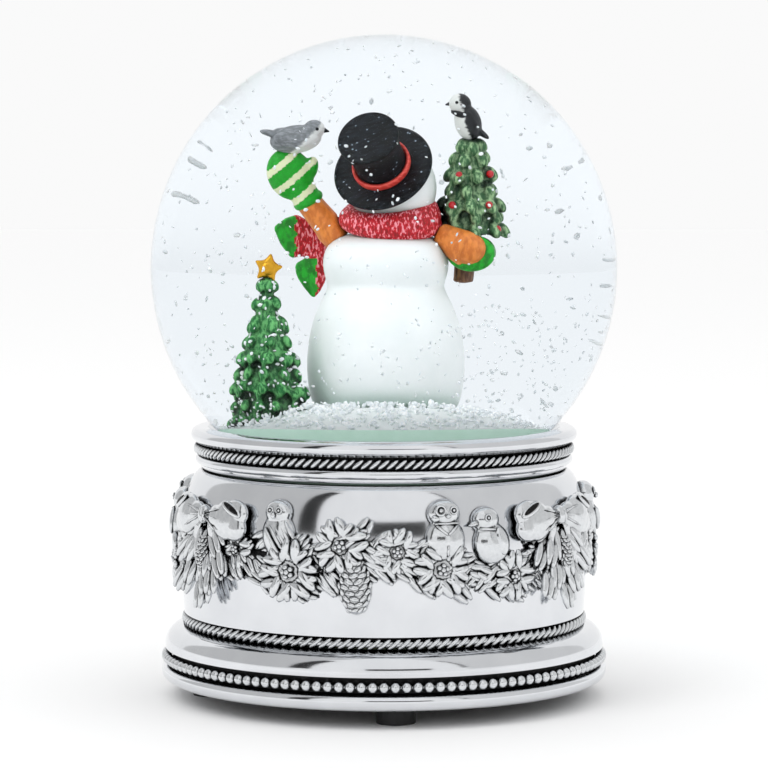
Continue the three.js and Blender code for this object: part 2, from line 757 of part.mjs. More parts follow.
const trunk = (grow = 0) => bar([12.6, 3.4, -2.3 - grow], [13, 3.4, 4.8 + grow], 1.7 + grow, 1.9 + grow, 10);

function rightMitten() {
  const cup = ball([3.5, 3, 2.9], [15.4, 1.6, 2]);
  return cut(cup, rightArm(GAP), trunk(GAP));
}

// Three tiers of branches on a trunk, leaning a little towards the snowman.
function heldTree() {
  const foot = { x: 13.8, y: 3.4, z: 6 };
  const tiers = [
    [0, 6, 5.4, 2.6],
    [4, 10.6, 4.8, 1.9],
    [8.8, 15, 3.6, 1],
  ];
  const branches = tiers.map(([low, high, lowR, highR]) =>
    post(lowR, foot.z + low, foot.z + high, [foot.x - low * 0.04, foot.y], 12, highR),
  );
  return join(trunk(), bar([13, 3.4, 4.2], [13.4, 3.4, 7], 1.5, 1.5, 8), ...branches);
}

// Black and white sea bird that sits on the small tree.
function seaBird() {
  const body = ball([1.9, 2, 3], [13.4, 3.4, 24.2], [0, -0.35, 0], 10, 6);
  const head = ball([1.8, 1.7, 1.8], [12.4, 3.4, 27.4], [0, 0, 0], 10, 6);
  const tail = bar([14.4, 3.4, 22.6], [16.6, 3.4, 21.9], 1, 0.5, 8);
  return cut(join(body, head, tail), post(2.2, 18, 21.3, [13, 3.4], 12));
}

function standingTree() {
  const { footZ } = TREE;
  const tiers = [
    [0, 9, 7.6, 4.2],
    [6.9, 14.6, 6.2, 3.2],
    [12.6, 20.6, 4.6, 1.8],
    [18.6, 26, 3, 0.9],
  ];
  const branches = tiers.map(([low, high, lowR, highR]) => post(lowR, footZ + low, footZ + high, [0, 0], 12, highR));
  return cut(join(...branches), mound(GAP).translate(-TREE.x, -TREE.y, 0));
}

function treeStar() {
  const outline = Array.from({ length: 10 }, (_, i) => {
    const a = (Math.PI * i) / 5 + Math.PI / 2;
    const r = i % 2 ? 1.1 : 2.3;
    return [r * Math.cos(a), r * Math.sin(a)];
  });
  return solid(plate(outline, 1.2).translate(0, 0, -0.6).rotateX(Math.PI / 2));
}

// ---- Assembly ----
function addBase() {
  const base = new THREE.Group();
  base.add(piece("base_flange", baseFlange(), FINISH.silver));
  base.add(piece("base_drum", baseDrum(), FINISH.silver));
  base.add(piece("base_collar", baseCollar(), FINISH.silver));
  base.add(piece("lower_rope_trim", wireRing(LOWER_ROPE.ringR, LOWER_ROPE.z, ROPE_R), FINISH.silver));
  base.add(piece("upper_rope_trim", wireRing(UPPER_ROPE.ringR, UPPER_ROPE.z, ROPE_R), FINISH.silver));
  base.add(piece("bead_trim", wireRing(BEADS.ringR, BEADS.z, BEADS.wireR), FINISH.silver));
  const garland = garlandSector();
  const bow = bowSector();
  for (let i = 0; i < SECTORS; i += 1) {
    const sector = new THREE.Group();
    sector.rotation.z = (2 * Math.PI * i) / SECTORS;
    sector.add(piece(`garland_${i + 1}`, garland, FINISH.silver));
    const bowMesh = piece(`ribbon_bow_${i + 1}`, bow, FINISH.silver);
    bowMesh.rotation.z = Math.PI / SECTORS; // bows hang between the festoons
    sector.add(bowMesh);
    base.add(sector);
  }
  return base;
}

function addUnderside() {
  const under = new THREE.Group();
  under.add(piece("bottom_cover", bottomCover(), FINISH.coverBoard));
  const coverScrew = screw(2.4, 1.1, 1.2, 6.6);
  screwSpots.forEach(([x, y], i) => {
    under.add(piece(`cover_screw_${i + 1}`, coverScrew, FINISH.steel, [x, y, COVER.bottomZ - GAP]));
  });
  const foot = post(FOOT.radius, 0, FOOT.height);
  for (let i = 0; i < FOOT.count; i += 1) {
    const a = (2 * Math.PI * i) / FOOT.count + THREE.MathUtils.degToRad(FOOT.offsetDeg);
    const at = [FOOT.orbit * Math.cos(a), FOOT.orbit * Math.sin(a), 0];
    under.add(piece(`rubber_foot_${i + 1}`, foot, FINISH.rubber, at));
  }
  under.add(piece("winding_key", windingKey(), FINISH.brass));
  return under;
}

function addMovement() {
  const movement = new THREE.Group();
  movement.add(piece("movement_bedplate", bedplate(), FINISH.steel));
  movement.add(piece("barrel_housing", barrelHousing(), FINISH.brass));
  movement.add(piece("mainspring", mainspring(), FINISH.steel));
  movement.add(piece("crown_wheel_arbor", crownArbor(), FINISH.brass));
  movement.add(piece("pin_cylinder", pinCylinder(), FINISH.brass, [0, 0, CYL.axisZ]));
  movement.add(piece("cylinder_arbor", cylinderArbor(), FINISH.steel, [0, 0, CYL.axisZ]));
  movement.add(piece("governor_arbor", governorArbor(), FINISH.steel, [0, GOV.y, GOV.z]));
  movement.add(piece("governor_fly", governorFly(), FINISH.steel, [GOV.flyX, FLY_Y, GOV.z]));
  movement.add(piece("governor_frame", governorFrame(), FINISH.brass));
  movement.add(piece("inner_bearing", innerBearing(), FINISH.brass));
  movement.add(piece("outer_bearing", outerBearing(), FINISH.brass));
  movement.add(piece("steel_comb", comb(), FINISH.steel));
  movement.add(piece("comb_block", combBlock(), FINISH.brass));
  COMB_SCREWS.forEach((x, i) => {
    const combScrew = piece(`comb_screw_${i + 1}`, screw(1.8, 1, 0.8, 3.4), FINISH.steel);
    combScrew.rotation.x = Math.PI; // its head is on top
    combScrew.position.set(x, -14, CYL.axisZ + 0.4 + GAP);
    movement.add(combScrew);
  });
  MOVEMENT_SCREWS.forEach(([x, y], i) => {
    const at = [x, y, WELL.ceilingZ - GAP];
    movement.add(piece(`movement_screw_${i + 1}`, screw(1.9, 1, 1, 4), FINISH.steel, at));
  });
  return movement;
}

function addGlobe() {
  const globe = new THREE.Group();
  globe.position.z = GLOBE.centreZ;
  globe.add(piece("glass_globe", glassGlobe(), FINISH.glass));
  globe.add(piece("water_fill", waterFill(), FINISH.water));
  globe.add(piece("rubber_stopper", stopper(), FINISH.stopper));
  globe.add(piece("snow_mound", mound(), FINISH.snow));
  globe.add(piece("settled_flakes", settledFlakes(), FINISH.flakes));
  globe.add(piece("standing_tree", standingTree(), FINISH.foliage, [TREE.x, TREE.y, 0]));
  globe.add(piece("tree_star", treeStar(), FINISH.gold, [TREE.x + 0.2, TREE.y, TREE.footZ + 28.6]));
  globe.add(addSnowman());
  return globe;
}

function addSnowman() {
  const snowman = new THREE.Group();
  snowman.add(piece("snowman_body", snowmanBody(), FINISH.snow, [SNOWMAN_X, 0, 0]));
  snowman.add(piece("snowman_head", snowmanHead(), FINISH.snow));
  snowman.add(piece("top_hat", snowmanHat(), FINISH.black));
  snowman.add(piece("hat_band", hatBandRing(0), FINISH.red));
  snowman.add(piece("knitted_scarf", scarfWrap(), FINISH.red, [SCARF.x, 0, 0]));
  snowman.add(piece("scarf_tails", scarfTails(), FINISH.red));
  snowman.add(piece("left_arm", leftArm(), FINISH.sleeve));
  snowman.add(piece("left_mitten", leftMitten(), FINISH.green));
  snowman.add(piece("right_arm", rightArm(), FINISH.sleeve));
  snowman.add(piece("right_mitten", rightMitten(), FINISH.green));
  snowman.add(piece("grey_bird", greyBird(), FINISH.grey));
  snowman.add(piece("held_tree", heldTree(), FINISH.foliage));
  snowman.add(piece("sea_bird", seaBird(), FINISH.black));
  return snowman;
}

const snowGlobe = new THREE.Group();
snowGlobe.add(addBase(), addUnderside(), addMovement(), addGlobe());

export default snowGlobe;
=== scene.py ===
import random
from math import acos, cos, degrees, hypot, pi, radians, sin, sqrt, tau

import bpy
from mathutils import Matrix, Vector


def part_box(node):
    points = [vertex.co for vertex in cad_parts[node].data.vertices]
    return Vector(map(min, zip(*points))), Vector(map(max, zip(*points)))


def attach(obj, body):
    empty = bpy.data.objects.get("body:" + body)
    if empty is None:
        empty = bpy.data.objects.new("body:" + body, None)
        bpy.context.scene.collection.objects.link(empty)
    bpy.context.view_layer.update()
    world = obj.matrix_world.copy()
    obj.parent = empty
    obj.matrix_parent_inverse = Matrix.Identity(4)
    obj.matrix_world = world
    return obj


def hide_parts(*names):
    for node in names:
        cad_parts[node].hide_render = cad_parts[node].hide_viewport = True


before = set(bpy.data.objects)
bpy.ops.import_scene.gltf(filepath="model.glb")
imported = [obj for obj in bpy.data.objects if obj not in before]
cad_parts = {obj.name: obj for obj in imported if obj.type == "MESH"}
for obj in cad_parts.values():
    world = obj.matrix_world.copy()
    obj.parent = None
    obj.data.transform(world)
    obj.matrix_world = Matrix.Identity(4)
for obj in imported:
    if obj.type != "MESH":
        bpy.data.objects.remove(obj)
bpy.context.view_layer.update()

MM = 0.001
ROOT = "globe_and_base"

# Globe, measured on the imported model
GLASS_LOW, GLASS_HIGH = (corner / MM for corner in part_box("glass_globe"))
BALL_R = (GLASS_HIGH.x - GLASS_LOW.x) / 2
BALL_Z = GLASS_HIGH.z - BALL_R
GLASS_WALL = 1.6
GLASS_INDEX, WATER_INDEX = 1.5, 1.33
WATER_GAP = 0.25
NECK_R = 35.5
NECK_Z = GLASS_LOW.z

# Base
DRUM_FOOT, DRUM_BELLY, DRUM_TOP = 16.1, 31.0, 49.0
DRUM_FOOT_R, DRUM_BELLY_R, DRUM_TOP_R = 42.9, 43.6, 38.9
DRUM_WALL = 1.5
GROOVE_R, GROOVE_LOW, GROOVE_HIGH = 41.3, 17.2, 18.4
SEAT_R, SEAT_Z = 36.4, 48.3
LOWER_ROPE = {"ring": 42.5, "height": 16.95, "strands": 132, "thick": 1.2}
UPPER_ROPE = {"ring": 40.0, "height": 53.5, "strands": 143}
BEADS = {"ring": 46.85, "height": 8.8, "count": 128, "radius": 1.13}
SECTORS = 3
BOW_ANGLES = (54.5, 179.5, 303.5)
BOW_HEIGHT = 41.8
LEAVES, CUSHIONS, NEEDLES = 146, 44, 24
GARLAND_STOPS = (
    (-50, 36.0), (-38, 33.5), (-26, 31.6), (-12, 36.0), (2, 35.2), (15, 32.5), (27, 31.5), (37, 30.6), (50, 35.5)
)

# Snow plinth, with heights from the ball's centre
DECK_R, DECK_Z = 13.4, -23.9
MOUND_R, MOUND_LOW, MOUND_EDGE = 31.2, -34.2, -30.4

# Flakes in the water and on the snow
FLOATING_FLAKES, SETTLED_FLAKES = 1250, 1500
FLAKE_REACH = 45.5


# ---- modelling

def middle(node):
    """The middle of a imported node's box, in millimetres."""
    low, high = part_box(node)
    return (low + high) / 2 / MM


def point(x, y, z):
    """A place in millimetres, as a Blender vector in metres."""
    return Vector((x, y, z)) * MM


def in_ball(x, y, height):
    """A place in millimetres whose height is counted from the ball's centre."""
    return (x, y, BALL_Z + height)


def editing(on):
    bpy.ops.object.mode_set(mode="EDIT" if on else "OBJECT")


def pick_all():
    bpy.ops.mesh.select_all(action="SELECT")


def select_only(*items):
    bpy.ops.object.select_all(action="DESELECT")
    for item in items:
        item.select_set(True)
    bpy.context.view_layer.objects.active = items[0]


def primitive(name, add, size=(1, 1, 1), **settings):
    """Adds one smooth primitive, with its place and size put into its mesh."""
    bpy.ops.object.select_all(action="DESELECT")
    add(**settings)
    made = bpy.context.object
    made.name, made.scale = name, size
    select_only(made)
    bpy.ops.object.transform_apply(location=True, rotation=True, scale=True)
    bpy.ops.object.shade_smooth()
    return made


def ball(name, centre, radii, turn=(0, 0, 0), around=20, rings=12):
    return primitive(
        name, bpy.ops.mesh.primitive_uv_sphere_add, point(*radii),
        segments=around, ring_count=rings, radius=1, location=point(*centre), rotation=turn,
    )


def taper(name, start, end, start_r, end_r, sides=20):
    """A round bar from start to end."""
    line = Vector(end) - Vector(start)
    return primitive(
        name, bpy.ops.mesh.primitive_cone_add,
        vertices=sides, radius1=start_r * MM, radius2=end_r * MM, depth=line.length * MM,
        location=(Vector(end) + Vector(start)) / 2 * MM, rotation=line.to_track_quat("Z", "Y").to_euler(),
    )


def hoop(name, centre, ring_r, wire_r, turn=(0, 0, 0), around=48, section=12):
    return primitive(
        name, bpy.ops.mesh.primitive_torus_add, major_segments=around, minor_segments=section,
        major_radius=ring_r * MM, minor_radius=wire_r * MM, location=point(*centre), rotation=turn,
    )


def drawn_line(name, spots):
    """Draws a line of points by extruding one vertex, and leaves it open in edit mode."""
    bpy.ops.object.select_all(action="DESELECT")
    bpy.ops.mesh.primitive_plane_add(size=MM)
    made = bpy.context.object
    made.name = name
    editing(True)
    bpy.ops.mesh.select_mode(type="VERT")
    pick_all()
    bpy.ops.mesh.merge(type="CENTER")
    here = Vector()
    for count, spot in enumerate(spots):
        step = point(*spot) - here
        here = point(*spot)
        if count:
            bpy.ops.mesh.extrude_region_move(TRANSFORM_OT_translate={"value": step})
        else:
            bpy.ops.transform.translate(value=step)
    return made


def turned(name, outline, centre=(0, 0), steps=96, crease=40):
    """Spins an outline of (radius, height) pairs round an upright axis."""
    made = drawn_line(name, [(r, 0, z) for r, z in outline])
    pick_all()
    bpy.ops.mesh.spin(steps=steps, angle=tau, center=(0, 0, 0), axis=(0, 0, 1))
    close_up()
    if any(centre):
        bpy.ops.transform.translate(value=point(*centre, 0))
    editing(False)
    select_only(made)
    bpy.ops.object.shade_smooth_by_angle(angle=radians(crease))
    return made


def close_up():
    """Merges doubled vertices and points the faces outwards."""
    pick_all()
    bpy.ops.mesh.remove_doubles(threshold=0.002 * MM)
    pick_all()
    bpy.ops.mesh.normals_make_consistent(inside=False)


def slab(name, outline, y_back, y_front, rounding=0.5):
    """A plate cut to an outline of (x, z) pairs, with soft edges."""
    made = drawn_line(name, [(x, y_back, z) for x, z in outline])
    pick_all()
    bpy.ops.mesh.edge_face_add()
    bpy.ops.mesh.extrude_region_move(TRANSFORM_OT_translate={"value": point(0, y_front - y_back, 0)})
    close_up()
    editing(False)
    changed(made, "BEVEL", width=rounding * MM, segments=3)
    select_only(made)
    bpy.ops.object.shade_smooth()
    return made


def changed(item, kind, **settings):
    """Adds a modifier and applies it."""
    select_only(item)
    change = item.modifiers.new(kind.lower(), kind)
    for key, value in settings.items():
        setattr(change, key, value)
    bpy.ops.object.modifier_apply(modifier=change.name)
    return item


def joined(name, parts):
    select_only(*parts)
    if len(parts) > 1:
        bpy.ops.object.join()
    whole = bpy.context.object
    whole.name = name
    return whole


def melted(name, parts, grain, softness=4):
    """Fuses overlapping shapes into one skin, as a casting or a moulded figure has."""
    whole = joined(name, parts)
    changed(whole, "REMESH", mode="VOXEL", voxel_size=grain * MM)
    changed(whole, "SMOOTH", factor=0.5, iterations=softness)
    select_only(whole)
    bpy.ops.object.shade_smooth()
    return whole


def stamped(template, matrix):
    """A copy of a template with a mesh of its own, put in place by a matrix."""
    made = template.copy()
    made.data = template.data.copy()
    bpy.context.scene.collection.objects.link(made)
    made.data.transform(matrix)
    return made


def thrown_away(*templates):
    for template in templates:
        bpy.data.objects.remove(template)


def coated(item, finish):
    item.data.materials.clear()
    item.data.materials.append(finish)
    return item


def coated_where(item, finish, belongs):
    """Gives a finish to the faces whose middle, in millimetres, belongs."""
    item.data.materials.append(finish)
    slot = len(item.data.materials) - 1
    for face in item.data.polygons:
        if belongs(face.center / MM):
            face.material_index = slot
    return item


def kept(item, slot, *nodes, body=ROOT):
    """Makes an object a piece of the part, in place of its CAD nodes."""
    if nodes:
        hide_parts(*nodes)
    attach(item, body)
    return item


def arc(centre_r, centre_z, radius, start, end, steps):
    """Points of (radius, height) along an arc between two angles in degrees."""
    angles = (radians(start + (end - start) * k / steps) for k in range(steps + 1))
    return [(centre_r + radius * cos(a), centre_z + radius * sin(a)) for a in angles]


def around_axis(item, count):
    """Repeats a mesh round the upright axis."""
    select_only(item)
    editing(True)
    pick_all()
    bpy.ops.mesh.spin(
        steps=count - 1, dupli=True, angle=tau * (count - 1) / count, center=(0, 0, 0), axis=(0, 0, 1)
    )
    editing(False)
    return item


# ---- finishes

class Wire:
    """A shader socket on which Python arithmetic adds Math nodes."""

    def __init__(self, finish, socket):
        self.finish, self.socket = finish, socket

    def maths(self, operation, *values):
        return self.finish.node("ShaderNodeMath", {"operation": operation}, dict(enumerate(values)))

    def __add__(self, other):
        return self.maths("ADD", self, other)

    def __sub__(self, other):
        return self.maths("SUBTRACT", self, other)

    def __rsub__(self, other):
        return self.maths("SUBTRACT", other, self)

    def __mul__(self, other):
        return self.maths("MULTIPLY", self, other)

    def __pow__(self, other):
        return self.maths("POWER", self, other)

    __radd__, __rmul__ = __add__, __mul__

    def step(self, low, high):
        """0 below low, 1 above high, and smooth between."""
        return self.finish.node(
            "ShaderNodeMapRange", {"interpolation_type": "SMOOTHSTEP"},
            {"Value": self, "From Min": low, "From Max": high, "To Min": 0.0, "To Max": 1.0},
        )

    def wave(self):
        """0 to 1, once every turn of the angle."""
        return self.maths("SINE", self) * 0.5 + 0.5


class Finish:
    """One material's nodes."""

    def __init__(self, name):
        self.material = bpy.data.materials.new(name)
        self.material.use_nodes = True
        self.tree = self.material.node_tree
        self.tree.nodes.clear()

    def node(self, kind, settings=None, inputs=None, output=0):
        made = self.tree.nodes.new(kind)
        for key, value in (settings or {}).items():
            setattr(made, key, value)
        for key, value in (inputs or {}).items():
            if isinstance(value, Wire):
                self.tree.links.new(value.socket, made.inputs[key])
            else:
                made.inputs[key].default_value = value
        return Wire(self, made.outputs[output])

    def place(self, scale=(1, 1, 1), turn=(0, 0, 0)):
        """Object coordinates in millimetres, stretched and turned."""
        spot = self.node("ShaderNodeTexCoord", output="Object")
        return self.node(
            "ShaderNodeMapping", {}, {"Vector": spot, "Scale": [s / MM for s in scale], "Rotation": turn}
        )

    def axes(self, place):
        split = self.node("ShaderNodeSeparateXYZ", {}, {0: place}).socket.node
        return [Wire(self, split.outputs[k]) for k in range(3)]

    def noise(self, place, size, detail=3.0, rough=0.55):
        return self.node(
            "ShaderNodeTexNoise", {}, {"Vector": place, "Scale": 1 / size, "Detail": detail, "Roughness": rough}
        )

    def cells(self, place, size):
        return self.node("ShaderNodeTexVoronoi", {}, {"Vector": place, "Scale": 1 / size})

    def blend(self, share, first, second):
        """Mixes two colours, each either wired or in 0 to 255 steps."""
        first, second = (tone(*colour) if isinstance(colour, tuple) else colour for colour in (first, second))
        return self.node(
            "ShaderNodeMix", {"data_type": "RGBA", "clamp_factor": True}, {0: share, 6: first, 7: second}, 2
        )

    def hollows(self, reach, low, high):
        """0 in crevices and 1 on open surfaces."""
        open_share = self.node("ShaderNodeAmbientOcclusion", {"samples": 6}, {"Distance": reach * MM}, "AO")
        return open_share.step(low, high)

    def bump(self, height, depth, strength=1.0):
        return self.node("ShaderNodeBump", {}, {"Height": height, "Distance": depth * MM, "Strength": strength})

    def surface(self, **sockets):
        named = {key.replace("_", " "): value for key, value in sockets.items()}
        self.output(self.node("ShaderNodeBsdfPrincipled", {}, named))
        return self.material

    def output(self, shader):
        end = self.tree.nodes.new("ShaderNodeOutputMaterial")
        self.tree.links.new(shader.socket, end.inputs["Surface"])


def tone(red, green, blue):
    """A colour from 0 to 255 steps, as linear light."""
    return tuple((v / 255) ** 2.2 for v in (red, green, blue)) + (1.0,)


def bright_silver(name, reach):
    """Polished silver plate, blackened where ornaments meet the wall."""
    f = Finish(name)
    place = f.place()
    open_share = f.hollows(reach, 0.42, 0.72)
    smear = f.noise(place, 9)
    polish = f.noise(f.place((1, 1, 0.12)), 0.5)
    clean = f.blend(smear, (208, 210, 214), (228, 230, 233))
    return f.surface(
        Base_Color=f.blend(open_share, (14, 15, 16), clean), Metallic=1.0,
        Roughness=0.33 - 0.24 * open_share + 0.03 * smear, Normal=f.bump(polish, 0.004, 0.4),
    )


def antiqued_silver():
    """Cast silver ornament with black left in its crevices."""
    f = Finish("antiqued_silver")
    place = f.place()
    grain = f.noise(place, 0.8)
    open_share = f.hollows(1.3, 0.52, 0.8)
    clean = f.blend(grain, (196, 199, 202), (232, 234, 236))
    return f.surface(
        Base_Color=f.blend(open_share, (10, 11, 12), clean), Metallic=1.0,
        Roughness=0.42 - 0.28 * open_share, Normal=f.bump(grain, 0.05, 0.5),
    )


def blackened_groove():
    f = Finish("blackened_groove")
    worn = f.noise(f.place(), 0.7)
    return f.surface(
        Base_Color=f.blend(worn.step(0.5, 0.75), (12, 12, 13), (58, 58, 60)), Metallic=0.6, Roughness=0.45,
        Normal=f.bump(worn, 0.03, 0.5),
    )


def lathe_metal(name, light, dark, roughness, scale=(0.2, 0.2, 2.5)):
    """Machined metal with fine lines."""
    f = Finish(name)
    lines = f.noise(f.place(scale), 0.6)
    stain = f.noise(f.place(), 3)
    return f.surface(
        Base_Color=f.blend(stain, dark, light), Metallic=1.0, Roughness=roughness + 0.12 * lines,
        Normal=f.bump(lines, 0.01, 0.5),
    )


def moulded(name, light, dark, roughness, grain=0.5, depth=0.03, **more):
    """A plain moulded or painted stuff with a fine grain."""
    f = Finish(name)
    place = f.place()
    fine, broad = f.noise(place, grain), f.noise(place, grain * 7)
    return f.surface(
        Base_Color=f.blend(broad, dark, light), Roughness=roughness + 0.1 * fine,
        Normal=f.bump(fine, depth, 0.6), **more,
    )


# Smooth rise of the glass's mirroring: none below this Fresnel share, all of it at 1
MIRROR_START = 0.026


def clear_glass(name, index):
    """Glass that lets the lamps through and, seen square on, mirrors far less than real glass."""
    f = Finish(name)
    bent = f.node("ShaderNodeBsdfRefraction", {}, {"IOR": index, "Roughness": 0.0, "Color": (1, 1, 1, 1)})
    mirrored = f.node("ShaderNodeBsdfGlossy", {}, {"Roughness": 0.0, "Color": (1, 1, 1, 1)})
    fresnel = f.node("ShaderNodeFresnel", {}, {"IOR": index})
    glass = f.node("ShaderNodeMixShader", {}, {0: fresnel.step(MIRROR_START, 1.0), 1: bent, 2: mirrored})
    through = f.node("ShaderNodeBsdfTransparent", {}, {"Color": (0.98, 0.99, 0.985, 1)})
    shadow = f.node("ShaderNodeLightPath", output="Is Shadow Ray")
    f.output(f.node("ShaderNodeMixShader", {}, {0: shadow, 1: glass, 2: through}))
    return f.material


def still_water():
    """Clear water, tinted very slightly where it is seen edge on."""
    f = Finish("still_water")
    edge = f.node("ShaderNodeLayerWeight", {}, {"Blend": 0.35}, "Facing")
    clear = f.node("ShaderNodeBsdfTransparent", {}, {"Color": (0.925, 0.95, 0.97, 1)})
    tinted = f.node("ShaderNodeBsdfTransparent", {}, {"Color": (0.8, 0.86, 0.89, 1)})
    f.output(f.node("ShaderNodeMixShader", {}, {0: edge ** 3.0, 1: clear, 2: tinted}))
    return f.material


def snow_paint():
    """Satin white, with painted shade: a green-grey tint darkens the folds."""
    f = Finish("snow_paint")
    place = f.place()
    fine, broad = f.noise(place, 0.7), f.noise(place, 5)
    # Painted shade: the folds and hollows, found over 6 mm, turn green-grey.
    fold = f.hollows(6, 0.42, 0.9)
    white = f.blend(broad, (238, 242, 240), (252, 252, 250))
    return f.surface(
        Base_Color=f.blend(fold, (206, 219, 212), white), Roughness=0.42 + 0.1 * fine,
        Normal=f.bump(fine + 0.5 * broad, 0.05, 0.6), Coat_Weight=0.15,
    )


def hat_paint():
    """Black paint with brushed streaks and a few pale specks."""
    f = Finish("hat_paint")
    streak = f.noise(f.place((0.35, 2.2, 0.9), (0.5, 0.2, 0.9)), 0.8)
    speck = f.cells(f.place(), 0.9).step(0.22, 0.12)
    dark = f.blend(streak.step(0.35, 0.75), (6, 8, 10), (36, 41, 46))
    return f.surface(
        Base_Color=f.blend(speck * streak.step(0.5, 0.6), dark, (176, 196, 214)), Roughness=0.4 + 0.2 * streak,
        Normal=f.bump(streak, 0.1, 0.7), Specular_IOR_Level=0.25,
    )


def brushed_paint(name, light, dark, scale=(1, 1, 1), turn=(0, 0, 0), size=0.9, roughness=0.45):
    """Paint put on in short strokes, with painted shade darkening its creases."""
    f = Finish(name)
    strokes = f.noise(f.place(scale, turn), size)
    # Painted shade: the creases go to less than half the dark tone.
    crease = f.hollows(1.2, 0.3, 0.8)
    shade = f.blend(strokes.step(0.38, 0.66), dark, light)
    return f.surface(
        Base_Color=f.blend(crease, tuple(v * 0.45 for v in dark), shade), Roughness=roughness,
        Normal=f.bump(strokes, 0.12, 0.8),
    )


def red_knit():
    """Red knitting with pink strokes."""
    f = Finish("red_knit")
    ribs = f.noise(f.place((2.2, 1, 0.9), (0, 0.6, 0)), 0.75, 1.5)
    strokes = ribs.step(0.54, 0.62)
    red = f.blend(ribs.step(0.35, 0.55), (150, 6, 20), (206, 16, 36))
    pinked = f.blend(strokes, red, (244, 150, 160))
    return f.surface(Base_Color=pinked, Roughness=0.62, Normal=f.bump(ribs, 0.22, 0.9))


def striped_mitten():
    """Green with slanting cream stripes."""
    f = Finish("striped_mitten")
    x, _, z = f.axes(f.place())
    fine = f.noise(f.place(), 0.5)
    stripe = ((z - x * 0.85) * 1.55 + fine * 1.4 - 1.4).wave().step(0.66, 0.8)
    green = f.blend(fine, (0, 128, 16), (10, 184, 36))
    return f.surface(
        Base_Color=f.blend(stripe, green, (232, 236, 190)), Roughness=0.5, Normal=f.bump(stripe, 0.12, 0.8)
    )


def plumage(name, back, breast, centre, lean, width):
    """A bird's feathers: its back colour above a slanting line, its breast colour below."""
    f = Finish(name)
    x, _, z = f.axes(f.place())
    height = (x - centre[0]) * lean[0] + (z - centre[1]) * lean[1]
    feathers = f.noise(f.place((0.6, 1, 1.6), (0, 0.4, 0)), 0.6)
    share = (height + feathers * 1.2 - 0.6).step(-width, width)
    barred = f.blend(feathers.step(0.4, 0.65), tuple(v * 0.8 for v in back), back)
    return f.surface(
        Base_Color=f.blend(share, breast, barred), Roughness=0.5, Normal=f.bump(feathers, 0.08, 0.7)
    )


def fir_paint(name, dark, light):
    """Dark green with lighter strokes on the tips of the branches, and painted shade in the creases."""
    f = Finish(name)
    strokes = f.noise(f.place((1, 1, 0.45)), 0.6)
    # Painted shade: the creases between lobes and tiers go to a near-black green.
    crease = f.hollows(2.4, 0.58, 0.95)
    leaf = f.blend(strokes.step(0.42, 0.62), dark, light)
    return f.surface(
        Base_Color=f.blend(crease, (8, 38, 20), leaf), Roughness=0.55, Normal=f.bump(strokes, 0.2, 0.9)
    )


def flake_white():
    """Glittering white with painted light: greyer patches stand in for shaded flakes, white ones for lit flakes, and
    a painted glow keeps the flakes clear of grey.
    """
    f = Finish("flake_white")
    # Painted light and shade: noise paints some flakes lit white and others shaded grey.
    painted_light_share = f.noise(f.place(), 1.1).step(0.4, 0.6)
    return f.surface(
        Base_Color=f.blend(painted_light_share, (222, 227, 230), (255, 255, 255)), Roughness=0.35 + 0.2 * painted_light_share,
        # Painted glow: the flakes give off light, though they are no lamp.
        Emission_Color=(1, 1, 1, 1), Emission_Strength=0.12,
    )


def pale_stopper():
    """Pale green-grey seal under the snow, with a painted glow though it is no lamp."""
    return moulded(
        "pale_stopper", (214, 236, 222), (190, 220, 200), 0.6,
        # Painted glow: the seal gives off light of its own.
        Emission_Color=tone(190, 220, 202), Emission_Strength=0.3,
    )


SILVER, ANTIQUE, GROOVE = bright_silver("bright_silver", 0.9), antiqued_silver(), blackened_groove()
PLAIN_SILVER = bright_silver("plain_silver", 0.3)
BRASS = lathe_metal("turned_brass", (226, 190, 112), (196, 158, 84), 0.24)
STEEL = lathe_metal("turned_steel", (196, 198, 202), (150, 153, 158), 0.26)
BOARD = moulded("cover_board", (34, 34, 36), (22, 22, 24), 0.7, 0.35, 0.05)
BLACK_RUBBER = moulded("black_rubber", (28, 28, 29), (16, 16, 17), 0.55, 0.4, 0.04)
PALE_STOPPER = pale_stopper()
SNOW = snow_paint()
FLAKE = flake_white()
HAT = hat_paint()
CORAL = brushed_paint("coral_band", (250, 98, 84), (214, 60, 52), (0.5, 0.5, 2))
KNIT = red_knit()
GREEN = brushed_paint("plain_green", (24, 176, 36), (4, 122, 20), (1, 1, 0.6), (0, 0.5, 0))
SLEEVE = brushed_paint("orange_sleeve", (236, 140, 60), (208, 112, 42), (1, 1, 0.5), (0, 0.6, 0))
MITTEN = striped_mitten()
TRUNK = brushed_paint("brown_trunk", (138, 92, 56), (84, 50, 28), (1.5, 1.5, 0.4))
FIR = fir_paint("fir_paint", (20, 108, 48), (110, 192, 112))
PALE_FIR = fir_paint("pale_fir_paint", (58, 104, 62), (164, 200, 146))
GOLD = lathe_metal("star_gold", (236, 180, 66), (196, 136, 36), 0.3)
BAUBLE = moulded("bauble_red", (214, 24, 34), (176, 12, 22), 0.25, Coat_Weight=0.5)
COAL = moulded("coal_black", (34, 34, 38), (16, 16, 18), 0.5, 0.3, 0.06)
CARROT = brushed_paint("carrot_orange", (240, 128, 40), (206, 92, 20), (1, 2.5, 1))
GLASS_OUT = clear_glass("glass_in_air", GLASS_INDEX)
GLASS_IN = clear_glass("glass_in_water", GLASS_INDEX / WATER_INDEX)
WATER = still_water()


# ---- silver base

